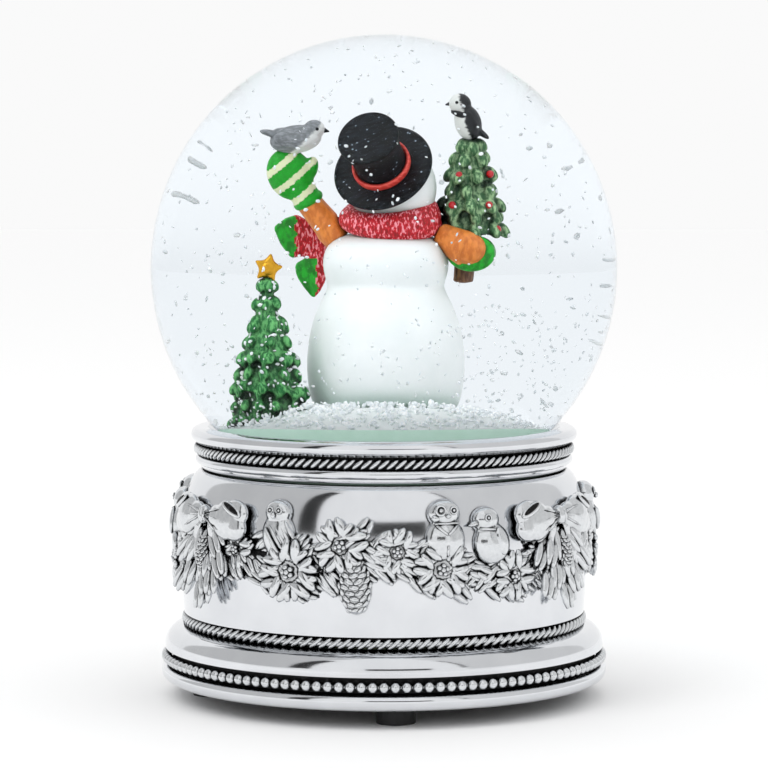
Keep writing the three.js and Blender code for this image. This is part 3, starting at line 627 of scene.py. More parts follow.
def drum_radius(z):
    """Outer radius of the drum wall at a height."""
    if z <= DRUM_BELLY:
        down = (DRUM_BELLY - z) / (DRUM_BELLY - DRUM_FOOT)
        return DRUM_BELLY_R - (DRUM_BELLY_R - DRUM_FOOT_R) * down ** 2
    up = min(1.0, (z - DRUM_BELLY) / (DRUM_TOP - DRUM_BELLY))
    return DRUM_TOP_R + (DRUM_BELLY_R - DRUM_TOP_R) * sqrt(1 - up ** 2.4)


def base_ring(name, outline, finish, low, high, near=0, far=DRUM_BELLY_R):
    """Turned ring of the base, black on the faces whose height and radius lie in its groove."""
    made = coated(turned(name, outline, steps=192, crease=30), finish)
    coated_where(made, GROOVE, lambda c: low < c.z < high and near < hypot(c.x, c.y) < far)
    return kept(made, "silver_plate", f"base_{name}")


def flange():
    """Spreading foot of the base, with the groove that the beads lie in."""
    outline = [(43, 3.9)] + arc(45.95, 5.8, 2, -72, 25, 12)
    outline += [(47.35, 7.0), (46.6, 7.15), (45.5, 7.4), (45.5, 10.3), (46.6, 10.55), (47.2, 10.8)]
    outline += arc(43.4, 11.8, 3.7, 0, 80, 14)
    outline += [(43.2, 15.8), (37.4, 15.8), (37.4, 13.2), (43, 11), (43, 3.9)]
    return base_ring("flange", outline, PLAIN_SILVER, 7.2, 10.5, 45, 46.7)


def drum():
    """Bulging drum with a shelf that the glass rests on."""
    heights = [GROOVE_HIGH + (DRUM_TOP - GROOVE_HIGH) * (1 - (1 - k / 40) ** 1.6) for k in range(41)]
    foot = (40.4, DRUM_FOOT)
    outline = [foot] + [(GROOVE_R, z) for z in (DRUM_FOOT, GROOVE_LOW, GROOVE_HIGH)]
    outline += [(drum_radius(z), z) for z in heights[:-1]] + [(DRUM_TOP_R, DRUM_TOP), (38.5, DRUM_TOP)]
    outline += [(SEAT_R, DRUM_TOP), (SEAT_R, SEAT_Z), (30, SEAT_Z), (30, 45.9), (36.6, 44.9)]
    outline += [(drum_radius(z) - DRUM_WALL, z) for z in (39, 30)] + [foot]
    return base_ring("drum", outline, SILVER, GROOVE_LOW, GROOVE_HIGH + 0.1)


def collar():
    """Moulded collar round the neck of the ball."""
    outline = [(38.3, 49.3), (39.0, 49.3), (39.35, 49.6), (39.5, 50), (39.6, 50.3), (39.75, 50.3), (40.1, 50.55)]
    outline += arc(39.5, 51.25, 1.05, -40, 60, 8) + [(39.8, 52.25), (38.7, 52.3), (38.7, 54.9), (40.5, 54.95)]
    outline += arc(40.05, 56.5, 1.45, -60, 75, 14) + [(39.2, 58.1), (37.9, 58.1), (36.1, 56.2)]
    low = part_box("base_collar")[0].z / MM
    outline += [(SEAT_R, 54), (SEAT_R, low), (38.3, low), (38.3, 49.3)]
    return base_ring("collar", outline, SILVER, 52.1, 55.0, 38, 40.2)


def rope(name, node, ring, height, strands, thick=1.0):
    """Twisted wire: slanting strands round a core, which is dark in the thin rope."""
    lean = radians(-38)
    strand = ball(name, (0, -ring, height), [r * thick for r in (1.75, 0.95, 0.52)], (0, lean, 0), 10, 7)
    strand = coated(around_axis(strand, strands), ANTIQUE)
    core = hoop("core", (0, 0, height), ring, 0.62 * thick, around=96, section=10)
    core = coated(core, GROOVE if thick == 1 else ANTIQUE)
    return kept(joined(name, [strand, core]), "silver_plate", node)


def bead_ring():
    """Row of round beads on a thin wire."""
    bead = ball("bead_row", (0, -BEADS["ring"], BEADS["height"]), (BEADS["radius"],) * 3, around=12, rings=8)
    bead = coated(around_axis(bead, BEADS["count"]), ANTIQUE)
    wire = coated(hoop("wire", (0, 0, BEADS["height"]), BEADS["ring"], 0.32, around=128, section=8), ANTIQUE)
    return kept(joined("bead_row", [bead, wire]), "silver_plate", "bead_trim")


# Ornaments are modelled flat, x to the right, y up and z out of the wall, and then stood on the drum.

def on_wall(angle, height, turn=0, lift=0.0, size=1.0):
    """Matrix that stands a flat-made ornament on the drum wall."""
    theta = radians(angle)
    slope = (drum_radius(height + 0.5) - drum_radius(height - 0.5)) * 0.8
    outward, along = Vector((sin(theta), -cos(theta), 0)), Vector((cos(theta), sin(theta), 0))
    normal = (outward - Vector((0, 0, slope))).normalized()
    axes = Matrix((along, normal.cross(along), normal)).transposed().to_4x4()
    foot = (outward * (drum_radius(height) + lift) + Vector((0, 0, height))) * MM
    grow = Matrix.Diagonal((size, size, size, 1))
    return Matrix.Translation(foot) @ axes @ Matrix.Rotation(radians(turn), 4, "Z") @ grow


def leaf_template(name, length, width, lift=0.25, split=7):
    """Two long lobes side by side, with a crevice between them."""
    lobes = []
    for side in (-1, 1):
        lobe = ball(
            name, (length * 0.52, side * width * 0.25, lift), (length / 2, width * 0.24, 0.75),
            (0, radians(-4), radians(side * -split)), 10, 7,
        )
        lobes.append(lobe)
    return joined(name, lobes)


def flower_template(name, petal, count, radius):
    """Petals round a cluster of small balls, on a low cushion that keeps the gaps dark."""
    parts = [ball("cushion", (0, 0, 0.1), (4.4, 4.4, 0.6), around=24, rings=8)]
    for k in range(count):
        size = 0.92 + 0.14 * ((k * 5) % 3) / 2
        turn = Matrix.Rotation(tau * (k + 0.15 * (k % 2)) / count, 4, "Z")
        move = Matrix.Translation(point(radius, 0, 0.25 + 0.2 * (k % 2)))
        parts.append(stamped(petal, turn @ move @ Matrix.Diagonal((size, size, 1, 1))))
    for k in range(5):
        a = tau * k / 5
        parts.append(ball("seed", (0.85 * cos(a), 0.85 * sin(a), 1.15), (0.52,) * 3, around=10, rings=7))
    parts.append(ball("seed", (0, 0, 1.35), (0.55,) * 3, around=10, rings=7))
    return joined(name, parts)


def cone_template(name):
    """A hanging pine cone with overlapping scales."""
    dice = random.Random(4)
    parts = [ball(name, (0, -0.1, 0.2), (3.0, 5.3, 1.9), around=20, rings=14)]
    for row in range(9):
        y = 4.4 - row * 1.08
        reach = 2.75 * sqrt(max(0.02, 1 - (y / 5.2) ** 2))
        for k in range(5):
            across = (k - 2 + 0.5 * (row % 2)) * 0.44
            if abs(across) > 1:
                continue
            x, rise = reach * sin(across * 1.4), 0.2 + 1.85 * reach / 2.75 * cos(across * 1.4)
            full = 0.5 + 0.5 * reach / 2.75
            turn = (radians(-38), dice.uniform(-0.3, 0.3), across * 1.3 + dice.uniform(-0.4, 0.4))
            parts.append(ball("scale", (x, y, rise), (1.1 * full, 0.65 * full, 0.42), turn, 8, 6))
    return joined(name, parts)


def eye_parts(x, y, z, size):
    return [
        hoop("eye_ring", (x, y, z), size, size * 0.3, around=16, section=6),
        ball("eye", (x, y, z), (size * 0.5, size * 0.5, size * 0.55), around=10, rings=7),
    ]


def front_bird():
    """Plump bird looking out, with a bib and round cheeks."""
    body = melted("front_bird", [
        ball("body", (0, -1.4, 0.4), (4.4, 4.7, 2.7), around=28, rings=18),
        ball("head", (-0.2, 4.1, 0.5), (3.6, 3.1, 2.5), around=28, rings=18),
    ], 0.22, 5)
    parts = [body] + eye_parts(-1.4, 4.7, 2.85, 1.0) + eye_parts(1.4, 4.7, 2.85, 0.7)
    parts.append(ball("beak", (0.1, 3.5, 3.2), (0.6, 0.42, 0.55)))
    parts.append(ball("cheek", (-2.3, 3.1, 2.1), (1.0, 0.8, 0.7)))
    for start, end in (
        ((-2.6, 2.0, 2.35), (2.6, 2.0, 2.35)), ((-2.3, 1.6, 2.5), (-0.1, -0.3, 3.0)),
        ((2.3, 1.6, 2.5), (0.1, -0.3, 3.0)), ((0, -2.6, 3.0), (0, -4.9, 2.4)),
    ):
        parts.append(taper("bib", start, end, 0.3, 0.3, 8))
    return joined("front_bird", parts)


def side_bird():
    """Plump bird in profile, looking to the left."""
    body = melted("side_bird", [
        ball("body", (0.5, -1.4, 0.3), (4.4, 4.7, 2.7), (0, 0, 0.35), 28, 18),
        ball("head", (-0.9, 3.6, 0.4), (3.3, 2.9, 2.4), around=28, rings=18),
        ball("tail", (3.4, -3.4, 0.3), (1.6, 2.4, 1.3), (0, 0, 0.5)),
    ], 0.22, 5)
    parts = [body] + eye_parts(-1.3, 4.1, 2.8, 0.65)
    parts.append(taper("beak", (-3.4, 3.1, 1.4), (-5.3, 2.6, 1.2), 0.85, 0.1, 10))
    parts.append(ball("wing", (1.9, -0.9, 2.5), (1.5, 3.0, 0.7), (0, 0, 0.25)))
    parts.append(taper("bib", (-3.0, 1.9, 1.9), (0.4, 1.6, 2.7), 0.3, 0.3, 8))
    return joined("side_bird", parts)


def wing_bird():
    """Round-faced bird with a lined wing on its right."""
    body = melted("wing_bird", [
        ball("body", (0, -1.2, 0.3), (3.6, 4.6, 2.4), (0, 0, 0.18), 28, 18),
        ball("head", (-0.2, 3.2, 0.4), (2.8, 2.6, 2.3), around=28, rings=18),
    ], 0.22, 4)
    parts = [body] + eye_parts(-1.0, 3.6, 2.6, 0.6) + eye_parts(0.9, 3.6, 2.6, 0.6)
    parts.append(ball("beak", (-0.1, 2.6, 2.9), (0.45, 0.62, 0.5)))
    for k in range(5):
        spot, size = (-0.4 + 0.78 * k, -2.0 + 0.5 * k, 2.6 - 0.32 * k), (3.0 - 0.15 * k, 0.44, 0.75)
        parts.append(ball("feather", spot, size, (0, 0, radians(-56)), 12, 7))
    return joined("wing_bird", parts)


def garland_band(angle):
    """Height of the garland's middle at an angle."""
    for (a, low), (b, high) in zip(GARLAND_STOPS, GARLAND_STOPS[1:]):
        if a <= angle <= b:
            return low + (high - low) * (angle - a) / (b - a)
    return GARLAND_STOPS[-1][1]


def garland():
    """Leaves, flowers, a cone and three birds, made for one third of the drum and repeated."""
    dice = random.Random(5)
    petal, leaf = leaf_template("petal", 4.8, 4.2, 0.3, 8), leaf_template("leaf", 5.6, 3.1, 0.1, 6)
    big, small = flower_template("big", petal, 9, 1.15), flower_template("small", petal, 8, 0.9)
    cone = cone_template("cone")
    birds = {(-29.5, 39.9): wing_bird(), (16.5, 39.6): front_bird(), (29.5, 38.4): side_bird()}
    parts, backing = [], []
    cushion = ball("cushion", (0, 0, 0), (2.6, 2.5, 0.75), around=16, rings=8)
    for k in range(CUSHIONS):
        angle = -48 + 96 * k / (CUSHIONS - 1)
        backing.append(stamped(cushion, on_wall(angle, garland_band(angle), 0, -0.25)))
    for k in range(LEAVES):
        angle = -49 + 98 * k / (LEAVES - 1)
        side = 1 if k % 2 else -1
        turn = dice.uniform(12, 62) * side + (180 if dice.random() < 0.45 else 0)
        height = garland_band(angle) + side * dice.uniform(0.1, 3.3)
        parts.append(stamped(leaf, on_wall(angle, height, turn, dice.uniform(0, 0.7), dice.uniform(0.75, 1.2))))
    for angle, height, template, size, lift in (
        (-25.7, 31.6, big, 1.12, 0.7), (-11.5, 37.2, small, 1.0, 0.7), (15.3, 32.4, big, 1.0, 0.8),
        (36.5, 30.2, small, 0.92, 0.7), (-43.5, 35.2, small, 0.78, 0.4), (3.5, 36.0, small, 0.86, 0.3),
        (46.5, 33.6, small, 0.66, 0.3),
    ):
        parts.append(stamped(template, on_wall(angle, height, dice.uniform(0, 60), lift, size)))
    parts.append(stamped(cone, on_wall(-7.6, 29.0, 2, 0.2, 1.08)))
    for (angle, height), bird in birds.items():
        parts.append(stamped(bird, on_wall(angle, height, 0, -0.3, 0.98 if angle > 0 else 1.08)))
    black = coated(joined("backing", backing), GROOVE)
    first = joined("garland_sector_1", [coated(joined("garland_sector_1", parts), ANTIQUE), black])
    thrown_away(cushion, petal, leaf, big, small, cone, *birds.values())
    return repeated(first, "garland_sector", "garland")


def repeated(first, name, node):
    """Two more copies of a third of the drum's ornament."""
    thirds = [first] + [
        stamped(first, Matrix.Rotation(tau * k / SECTORS, 4, "Z")) for k in range(1, SECTORS)
    ]
    for k, third in enumerate(thirds, 1):
        third.name = f"{name}_{k}"
        kept(third, "silver_plate", f"{node}_{k}")
    return thirds


def ribbon_loop(side):
    """One puffed loop of ribbon, pinched at the knot, with its open fold near the top, where a dark patch paints the
    opening's shade.
    """
    pillow = melted("ribbon_loop", [
        ball("neck", (side * 1.8, -0.6, 1.3), (2.2, 1.6, 1.4)),
        ball("fold", (side * 4.4, -0.8, 1.1), (3.4, 3.0, 1.7), around=28, rings=18),
        ball("fold", (side * 8.0, -0.9, 0.8), (4.6, 4.4, 1.9), (0, side * 0.12, 0), 28, 18),
        ball("corner", (side * 10.2, 0.8, 0.4), (3.7, 3.0, 1.6), (0, side * 0.2, 0), 28, 18),
        ball("corner", (side * 10.4, -2.3, 0.4), (3.5, 2.9, 1.6), (0, side * 0.2, 0), 28, 18),
    ], 0.25, 9)
    parts = [coated(pillow, ANTIQUE)]
    tip = (radians(-25), side * 0.2, side * -0.45)
    parts.append(coated(ball("rim", (side * 10.4, 1.6, 1.75), (3.2, 1.1, 0.55), tip, 28, 12), ANTIQUE))
    # Dark patch laid over the rim in place of the opening: painted shade of the hole, in the black patina finish.
    parts.append(coated(ball("hollow", (side * 10.6, 1.75, 2.0), (2.5, 0.6, 0.42), tip, 28, 12), GROOVE))
    for low, high in ((-2.2, -3.4), (-1.0, -1.0), (0.2, 1.2)):
        crease = taper("crease", (side * 1.2, low * 0.4, 2.5), (side * 6.4, high, 2.75), 0.34, 0.08, 8)
        parts.append(coated(crease, ANTIQUE))
    return joined("ribbon_loop", parts)


def ribbon_tail(side):
    """A ribbon end that ripples down from the knot."""
    spots = [(0.6, -1, 1.2), (1.6, -3.5, 1.9), (2.3, -6, 1.0), (3.6, -9, 1.9), (4.0, -11.5, 1.0)]
    made = drawn_line("ribbon_tail", [(side * x, y, z) for x, y, z in spots])
    pick_all()
    bpy.ops.mesh.extrude_region_move(TRANSFORM_OT_translate={"value": point(side * 2.3, 0.9, 0)})
    close_up()
    editing(False)
    changed(made, "SOLIDIFY", thickness=0.7 * MM, offset=0)
    changed(made, "SUBSURF", levels=2, render_levels=2)
    return made


def bow():
    """Ribbon bow with a hanging spray, between the garlands."""
    needle = leaf_template("needle", 6.6, 4.2, 0.2, 4)
    cone = cone_template("cone")
    dice = random.Random(8)
    flat = [ribbon_loop(-1), ribbon_loop(1), ribbon_tail(-1), ribbon_tail(1)]
    flat.append(ball("knot", (0, -0.4, 1.8), (1.7, 2.1, 1.5)))
    flat.append(ball("knot_fold", (0.4, -0.4, 2.6), (0.5, 1.7, 0.9), (0, 0, 0.2)))
    for k in range(NEEDLES):
        far = ((k * 11) % NEEDLES) / (NEEDLES - 1)
        lean = -90 + (k - 11.5) * (5.0 - 2.8 * far) + dice.uniform(-5, 5)
        start, size = 2.5 + 11.5 * far, dice.uniform(0.85, 1.1)
        turn = Matrix.Rotation(radians(lean), 4, "Z")
        move = Matrix.Translation(point(start, 0, 0.3 + 0.5 * (k % 3)))
        flat.append(stamped(needle, turn @ move @ Matrix.Diagonal((size, 1, 1, 1))))
    flat.append(stamped(cone, Matrix.Translation(point(0.8, -8.5, 1.0)) @ Matrix.Diagonal((0.72, 0.72, 0.8, 1))))
    template = joined("bow", [item if item.data.materials else coated(item, ANTIQUE) for item in flat])
    for k, angle in enumerate(BOW_ANGLES, 1):
        made = stamped(template, on_wall(angle, BOW_HEIGHT, 0, 0.1, 0.97))
        made.name = f"bow_{k}"
        kept(made, "silver_plate", f"ribbon_bow_{k}")
    thrown_away(template, needle, cone)


# ---- glass, water, snow

def neck_angle(neck_r, ball_r):
    """Angle, in degrees, at which a ball runs into its neck."""
    return -degrees(acos(neck_r / ball_r))


def glass_ball():
    """Blown ball with a short neck: its outer faces meet air, its inner faces water."""
    inner = BALL_R - GLASS_WALL
    outside = arc(0, BALL_Z, BALL_R, 90, neck_angle(NECK_R, BALL_R), 72)
    inside = arc(0, BALL_Z, inner, neck_angle(NECK_R - GLASS_WALL, inner), 90, 72)
    outside[0], inside[-1] = (0, BALL_Z + BALL_R), (0, BALL_Z + inner)
    rim = [(NECK_R, NECK_Z), (NECK_R - GLASS_WALL, NECK_Z)]
    made = turned("glass_ball", outside + rim + inside, steps=128, crease=30)
    coated(made, GLASS_OUT)
    centre = Vector((0, 0, BALL_Z))
    limit = BALL_R - GLASS_WALL / 2

    def wet(spot):
        in_neck = hypot(spot.x, spot.y) < NECK_R - GLASS_WALL / 2 and NECK_Z + 0.1 < spot.z < BALL_Z
        return in_neck or (spot - centre).length < limit

    coated_where(made, GLASS_IN, wet)
    return kept(made, "clear_glass", "glass_globe")


def water_body():
    """The water, just clear of the glass."""
    reach = BALL_R - GLASS_WALL - WATER_GAP
    low = neck_angle(NECK_R - GLASS_WALL - WATER_GAP, reach)
    outline = arc(0, BALL_Z, reach, 90, low, 48) + [(0, BALL_Z + reach * sin(radians(low)))]
    outline[0] = (0, BALL_Z + reach)
    return kept(coated(turned("water_body", outline, steps=96, crease=30), WATER), "water", "water_fill")


def stopper():
    """Pale seal in the neck, with a rounded lip."""
    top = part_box("rubber_stopper")[1].z / MM
    outline = [(0, SEAT_Z + 0.3), (35.6, SEAT_Z + 0.3), (35.6, NECK_Z - 0.3), (33.4, NECK_Z - 0.3)]
    outline += [(33.2, top - 1)] + arc(32.2, top - 1, 1, 0, 90, 5) + [(0, top)]
    return kept(coated(turned("stopper", outline, crease=30), PALE_STOPPER), "pale_rubber", "rubber_stopper")


def mound_height(r):
    """Height of the snow at a distance from the axis, from the ball's centre."""
    if r <= DECK_R:
        return DECK_Z
    return MOUND_EDGE + (DECK_Z - MOUND_EDGE) * sin(pi / 2 * max(0.0, (MOUND_R - r) / (MOUND_R - DECK_R)))


def snow_mound():
    radii = [MOUND_R - (MOUND_R - DECK_R) * k / 16 for k in range(17)]
    outline = [(0, BALL_Z + MOUND_LOW), (MOUND_R, BALL_Z + MOUND_LOW)]
    outline += [(r, BALL_Z + mound_height(r)) for r in radii] + [(8, BALL_Z + DECK_Z), (0, BALL_Z + DECK_Z)]
    made = coated(turned("snow_mound_piece", outline, crease=60), SNOW)
    coated_where(made, PALE_STOPPER, lambda c: c.z < BALL_Z + MOUND_EDGE)
    return kept(made, "snow_paint", "snow_mound")


def flake_template():
    """One soft, slightly long flake with few faces."""
    return primitive(
        "flake", bpy.ops.mesh.primitive_ico_sphere_add, point(0.42, 0.3, 0.12),
        subdivisions=1, radius=1, location=(0, 0, 0),
    )


def any_turn(dice):
    return (
        Matrix.Rotation(dice.uniform(0, tau), 4, "Z") @ Matrix.Rotation(dice.uniform(0, pi), 4, "X")
        @ Matrix.Rotation(dice.uniform(0, tau), 4, "Y")
    )


def figure_boxes(grow):
    """Boxes that the floating flakes keep out of."""
    names = ("snowman_body", "snowman_head", "top_hat", "knitted_scarf", "scarf_tails", "left_arm", "left_mitten",
             "right_arm", "right_mitten", "grey_bird", "held_tree", "sea_bird", "standing_tree", "tree_star")
    return [tuple(corner / MM + Vector((s, s, s)) * grow for s, corner in zip((-1, 1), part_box(n))) for n in names]


def floating_flakes():
    """Flakes adrift in the water, thicker towards the snow and low on the right."""
    dice, flake, parts = random.Random(21), flake_template(), []
    boxes = figure_boxes(0.4)
    while len(parts) < FLOATING_FLAKES:
        spot = Vector([dice.uniform(-FLAKE_REACH, FLAKE_REACH) for _ in range(3)])
        if spot.length > FLAKE_REACH or spot.z < mound_height(min(MOUND_R, hypot(spot.x, spot.y))) + 0.5:
            continue
        drift = 0.5 if spot.x > 4 and spot.z < -6 else 0.0
        if dice.random() > 0.3 + drift + 0.4 * max(0, -spot.z) / 30:
            continue
        place = spot + Vector((0, 0, BALL_Z))
        if any(all(low[k] < place[k] < high[k] for k in range(3)) for low, high in boxes):
            continue
        size = dice.choice((0.7, 0.85, 1.0, 1.2))
        parts.append(stamped(flake, Matrix.Translation(place * MM) @ any_turn(dice) @ Matrix.Scale(size, 4)))
    thrown_away(flake)
    return kept(coated(joined("floating_flakes", parts), FLAKE), "flakes")


def settled_flakes():
    """Flakes lying thick on the mound and against the tree."""
    dice, flake, parts = random.Random(34), flake_template(), []
    tree, body = middle("standing_tree"), middle("snowman_body")
    for _ in range(SETTLED_FLAKES):
        r, a = 30.9 * sqrt(dice.uniform(0.14, 1)), dice.uniform(0, tau)
        x, y = r * cos(a), r * sin(a)
        from_tree = hypot(x - tree.x, y - tree.y)
        if hypot(x - body.x, y) < 12.4 or from_tree < 4:
            continue
        pile = 0.9 if from_tree < 11 or r < 17 else 0.35
        spot = in_ball(x, y, mound_height(r) + 0.1 + dice.uniform(0, pile))
        size = dice.choice((1.1, 1.3, 1.6, 2.0))
        parts.append(stamped(flake, Matrix.Translation(point(*spot)) @ any_turn(dice) @ Matrix.Scale(size, 4)))
    thrown_away(flake)
    return kept(coated(joined("settled_flake_bed", parts), FLAKE), "flakes", "settled_flakes")


# ---- figures

HEAD_R, HEAD_SPOT = 7.1, Vector((1.4, 0.6, BALL_Z + 13))
HAT_AXIS = Vector((-0.28, -0.7, 0.66)).normalized()


def snowman_body():
    """Two soft balls of snow with a waist crease, and coal buttons down the front."""
    outline = [(0, -23.6), (9, -23.6), (11.4, -23.2), (12.2, -21), (12.75, -18), (12.8, -15), (12.5, -11.5),
               (11.8, -8.4), (10.8, -6), (9.95, -4.4), (9.4, -3.1), (9.4, -2.5), (9.9, -1.2), (10.2, 0.5),
               (10.1, 2.2), (9.4, 3.8), (7.9, 5.1), (4.6, 5.8), (0, 5.8)]
    x = middle("snowman_body").x
    made = turned("snowman_body_piece", [(r, BALL_Z + z) for r, z in outline], (x, 0), 64, 60)
    changed(made, "SUBSURF", levels=1, render_levels=1)
    coated(made, SNOW)
    buttons = [
        coated(ball("button", in_ball(x, reach, height), (0.85, 0.5, 0.85)), COAL)
        for height, reach in ((1.0, 10.0), (-6.2, 11.1), (-12, 12.7))
    ]
    return kept(joined("snowman_body_piece", [made] + buttons), "snow_paint", "snowman_body")


def snowman_head():
    """Round head with coal eyes, a coal smile and a plain carrot nose."""
    parts = [coated(ball("snowman_head_piece", HEAD_SPOT, (HEAD_R,) * 3, around=48, rings=32), SNOW)]
    coals = [("eye", (side, 6.3, 1.6), (0.8, 0.5, 0.9)) for side in (-2.3, 2.3)]
    for k in range(5):
        a = radians(-150 + 30 * k)
        coals.append(("smile", (2.9 * cos(a), 6.35, -0.6 + 2.4 * sin(a)), (0.42,) * 3))
    for name, spot, size in coals:
        parts.append(coated(ball(name, HEAD_SPOT + Vector(spot), size), COAL))
    nose = taper("nose", HEAD_SPOT + Vector((0, 6.4, -0.1)), HEAD_SPOT + Vector((0.4, 12, -0.8)), 1.1, 0.15)
    parts.append(coated(nose, CARROT))
    return kept(joined("snowman_head_piece", parts), "snow_paint", "snowman_head")


def tilt_to(axis):
    return axis.to_track_quat("Z", "Y").to_matrix().to_4x4()


def top_hat():
    """Felt hat tipped back and to the side, with a rolled brim and a coral band."""
    foot = HEAD_SPOT + HAT_AXIS * 4.6
    felt = [(0, 0.1), (7.8, 0.05), (8.35, 0.25), (8.5, 0.6), (8.2, 1.0), (6.8, 1.05), (5.0, 1.0), (4.5, 1.15),
            (4.3, 1.5), (4.25, 2.6), (4.35, 5.2), (4.75, 7.8), (5.3, 9.5), (5.5, 10.0), (5.3, 10.4),
            (4.9, 10.45), (0, 10.3)]
    band = [(4.2, 1.1), (4.85, 1.1), (5.0, 1.4), (5.0, 2.3), (4.9, 2.6), (4.2, 2.6), (4.2, 1.1)]
    place = Matrix.Translation(foot * MM) @ tilt_to(HAT_AXIS)
    for name, outline, finish, slot, node in (
        ("top_hat_piece", felt, HAT, "black_paint", "top_hat"),
        ("hat_band_piece", band, CORAL, "coral_paint", "hat_band"),
    ):
        made = coated(turned(name, outline, steps=64, crease=50), finish)
        changed(made, "SUBSURF", levels=1, render_levels=1)
        made.data.transform(place)
        kept(made, slot, node)


def scarf():
    """Knitted scarf wound round the neck, with two ends blown to one side."""
    x, z = 1.0, BALL_Z + 8.0
    wraps = [
        hoop("wrap", (x, 0.2, z - 0.5), 6.6, 1.8, (0.14, 0.06, 0), 56, 16),
        hoop("wrap", (x, 0.2, z + 0.9), 6.3, 1.6, (0.16, -0.08, 0), 56, 16),
        hoop("wrap", (x, 0.1, z + 0.2), 6.9, 1.4, (0.12, -0.04, 0), 56, 16),
    ]
    kept(coated(melted("scarf_wrap", wraps, 0.3, 3), KNIT), "red_paint", "knitted_scarf")
    upper = [(-8.4, 3.0), (-11.4, 1.6), (-14.4, 1.2), (-16, 3.4), (-17.1, 6), (-15.2, 7.4), (-13.4, 8.0), (-11, 6.6),
             (-8.6, 5.8)]
    lower = [(-9.2, 3.4), (-11.6, 1.6), (-13.8, 0.4), (-13.7, -1), (-13.3, -2), (-12.2, -3.6), (-10.9, -5.1),
             (-9.8, -3.8), (-9, -2.2)]
    tails = [
        slab("tail", [(a, BALL_Z + b) for a, b in upper], 8.7, 9.9),
        slab("tail", [(a, BALL_Z + b) for a, b in lower], 7.9, 9.1),
        ball("knot", in_ball(-9, 8.9, 3.8), (1.2, 1.2, 1.4)),
    ]
    made = coated(melted("scarf_ends", tails, 0.25, 3), KNIT)
    coated_where(made, GREEN, lambda c: c.x < (-10.5 if c.z < BALL_Z + 1.3 else -13.7) + 0.25 * sin(c.z * 3))
    return kept(made, "red_paint", "scarf_tails")


def arms():
    """Orange sleeves and striped mittens, one raised and one round the small tree."""
    sleeve = melted("left_sleeve", [
        taper("arm", in_ball(-7.2, 1.4, 4.6), in_ball(-12.4, 1.2, 10.9), 2.5, 2.05, 32),
        ball("elbow", in_ball(-8.4, 1.4, 6.0), (2.6, 2.4, 2.5)),
    ], 0.3, 3)
    kept(coated(sleeve, SLEEVE), "sleeve_paint", "left_arm")
    mitten = melted("raised_mitten", [
        hoop("cuff", in_ball(-12.2, 1.2, 10.9), 1.75, 0.85, (0, -0.5, 0), 32, 10),
        taper("wrist", in_ball(-12.1, 1.2, 10.7), in_ball(-14.2, 1.2, 14), 2.2, 2.5, 24),
        ball("palm", in_ball(-15.2, 1.2, 15.2), (3.7, 2.3, 4.4), (0, -0.5, 0), 32, 20),
        ball("thumb", in_ball(-11.9, 1.2, 16), (1.25, 1.25, 2.1), (0, 0.3, 0)),
        ball("thumb_root", in_ball(-12.7, 1.2, 14.4), (1.4, 1.3, 1.6)),
    ], 0.25, 3)
    kept(coated(mitten, MITTEN), "green_paint", "left_mitten")
    sleeve = melted("right_sleeve", [
        taper("arm", in_ball(8.9, -0.8, 5.3), in_ball(13.6, -2.6, 3.2), 2.2, 3.0, 32),
        ball("elbow", in_ball(13.9, -2.5, 3.3), (2.9, 2.4, 2.6)),
    ], 0.3, 3)
    kept(coated(sleeve, SLEEVE), "sleeve_paint", "right_arm")
    cuff = [
        ball("palm", in_ball(14.9, 0.6, 2.5), (3.2, 3.4, 2.7), (0, 0, 0), 32, 20),
        ball("cuff", in_ball(14.1, -1.8, 2.6), (4.1, 1.3, 3.1), (0, 0.1, 0), 32, 20),
        ball("thumb", in_ball(13.4, 1.6, 4.2), (1.3, 1.3, 1.5)),
    ]
    kept(coated(melted("holding_mitten", cuff, 0.25, 3), GREEN), "green_paint", "right_mitten")


def painted_bird(node, feathers, skin, beak, eyes, rings=()):
    """Small bird fused from balls, with black beak and eyes and perhaps a ring round its neck."""
    name = f"{node}_piece"
    body = melted(name, [ball(part, in_ball(*spot), *shape) for part, spot, *shape in skin], 0.2, 2)
    root, tip, thick = beak
    black = [taper("beak", in_ball(*root), in_ball(*tip), thick, 0.1)]
    black += [hoop("neck_ring", in_ball(*spot), *shape) for spot, *shape in rings]
    black += [ball("eye", in_ball(*spot), size) for spot, size in eyes]
    parts = [coated(body, feathers)] + [coated(part, COAL) for part in black]
    return kept(joined(name, parts), "grey_paint", node)


def grey_bird():
    """Small grey bird with a white breast, looking towards the snowman."""
    feathers = plumage("grey_plumage", (150, 153, 156), (240, 240, 236), (-13.2, BALL_Z + 20.9), (-0.75, 0.8), 0.3)
    skin = [
        ("body", (-14.4, 0.8, 21.0), (4.3, 2.3, 2.35), (0, -0.1, 0), 28, 18),
        ("head", (-11.4, 0.8, 22.6), (1.8, 1.6, 1.6)),
        ("tail", (-18.2, 0.8, 22.0), (2.4, 0.95, 0.6), (0, 0.25, 0)),
    ] + [("wing", (-15.3, y, 21.2), (3.1, 0.8, 1.4), (0, 0.2, 0)) for y in (-1.1, 2.7)]
    beak = ((-10.1, 0.8, 22.5), (-8.9, 0.8, 22.2), 0.6)
    eyes = [((-11.0, y, 22.9), (0.3, 0.22, 0.3)) for y in (-0.62, 2.22)]
    return painted_bird("grey_bird", feathers, skin, beak, eyes)


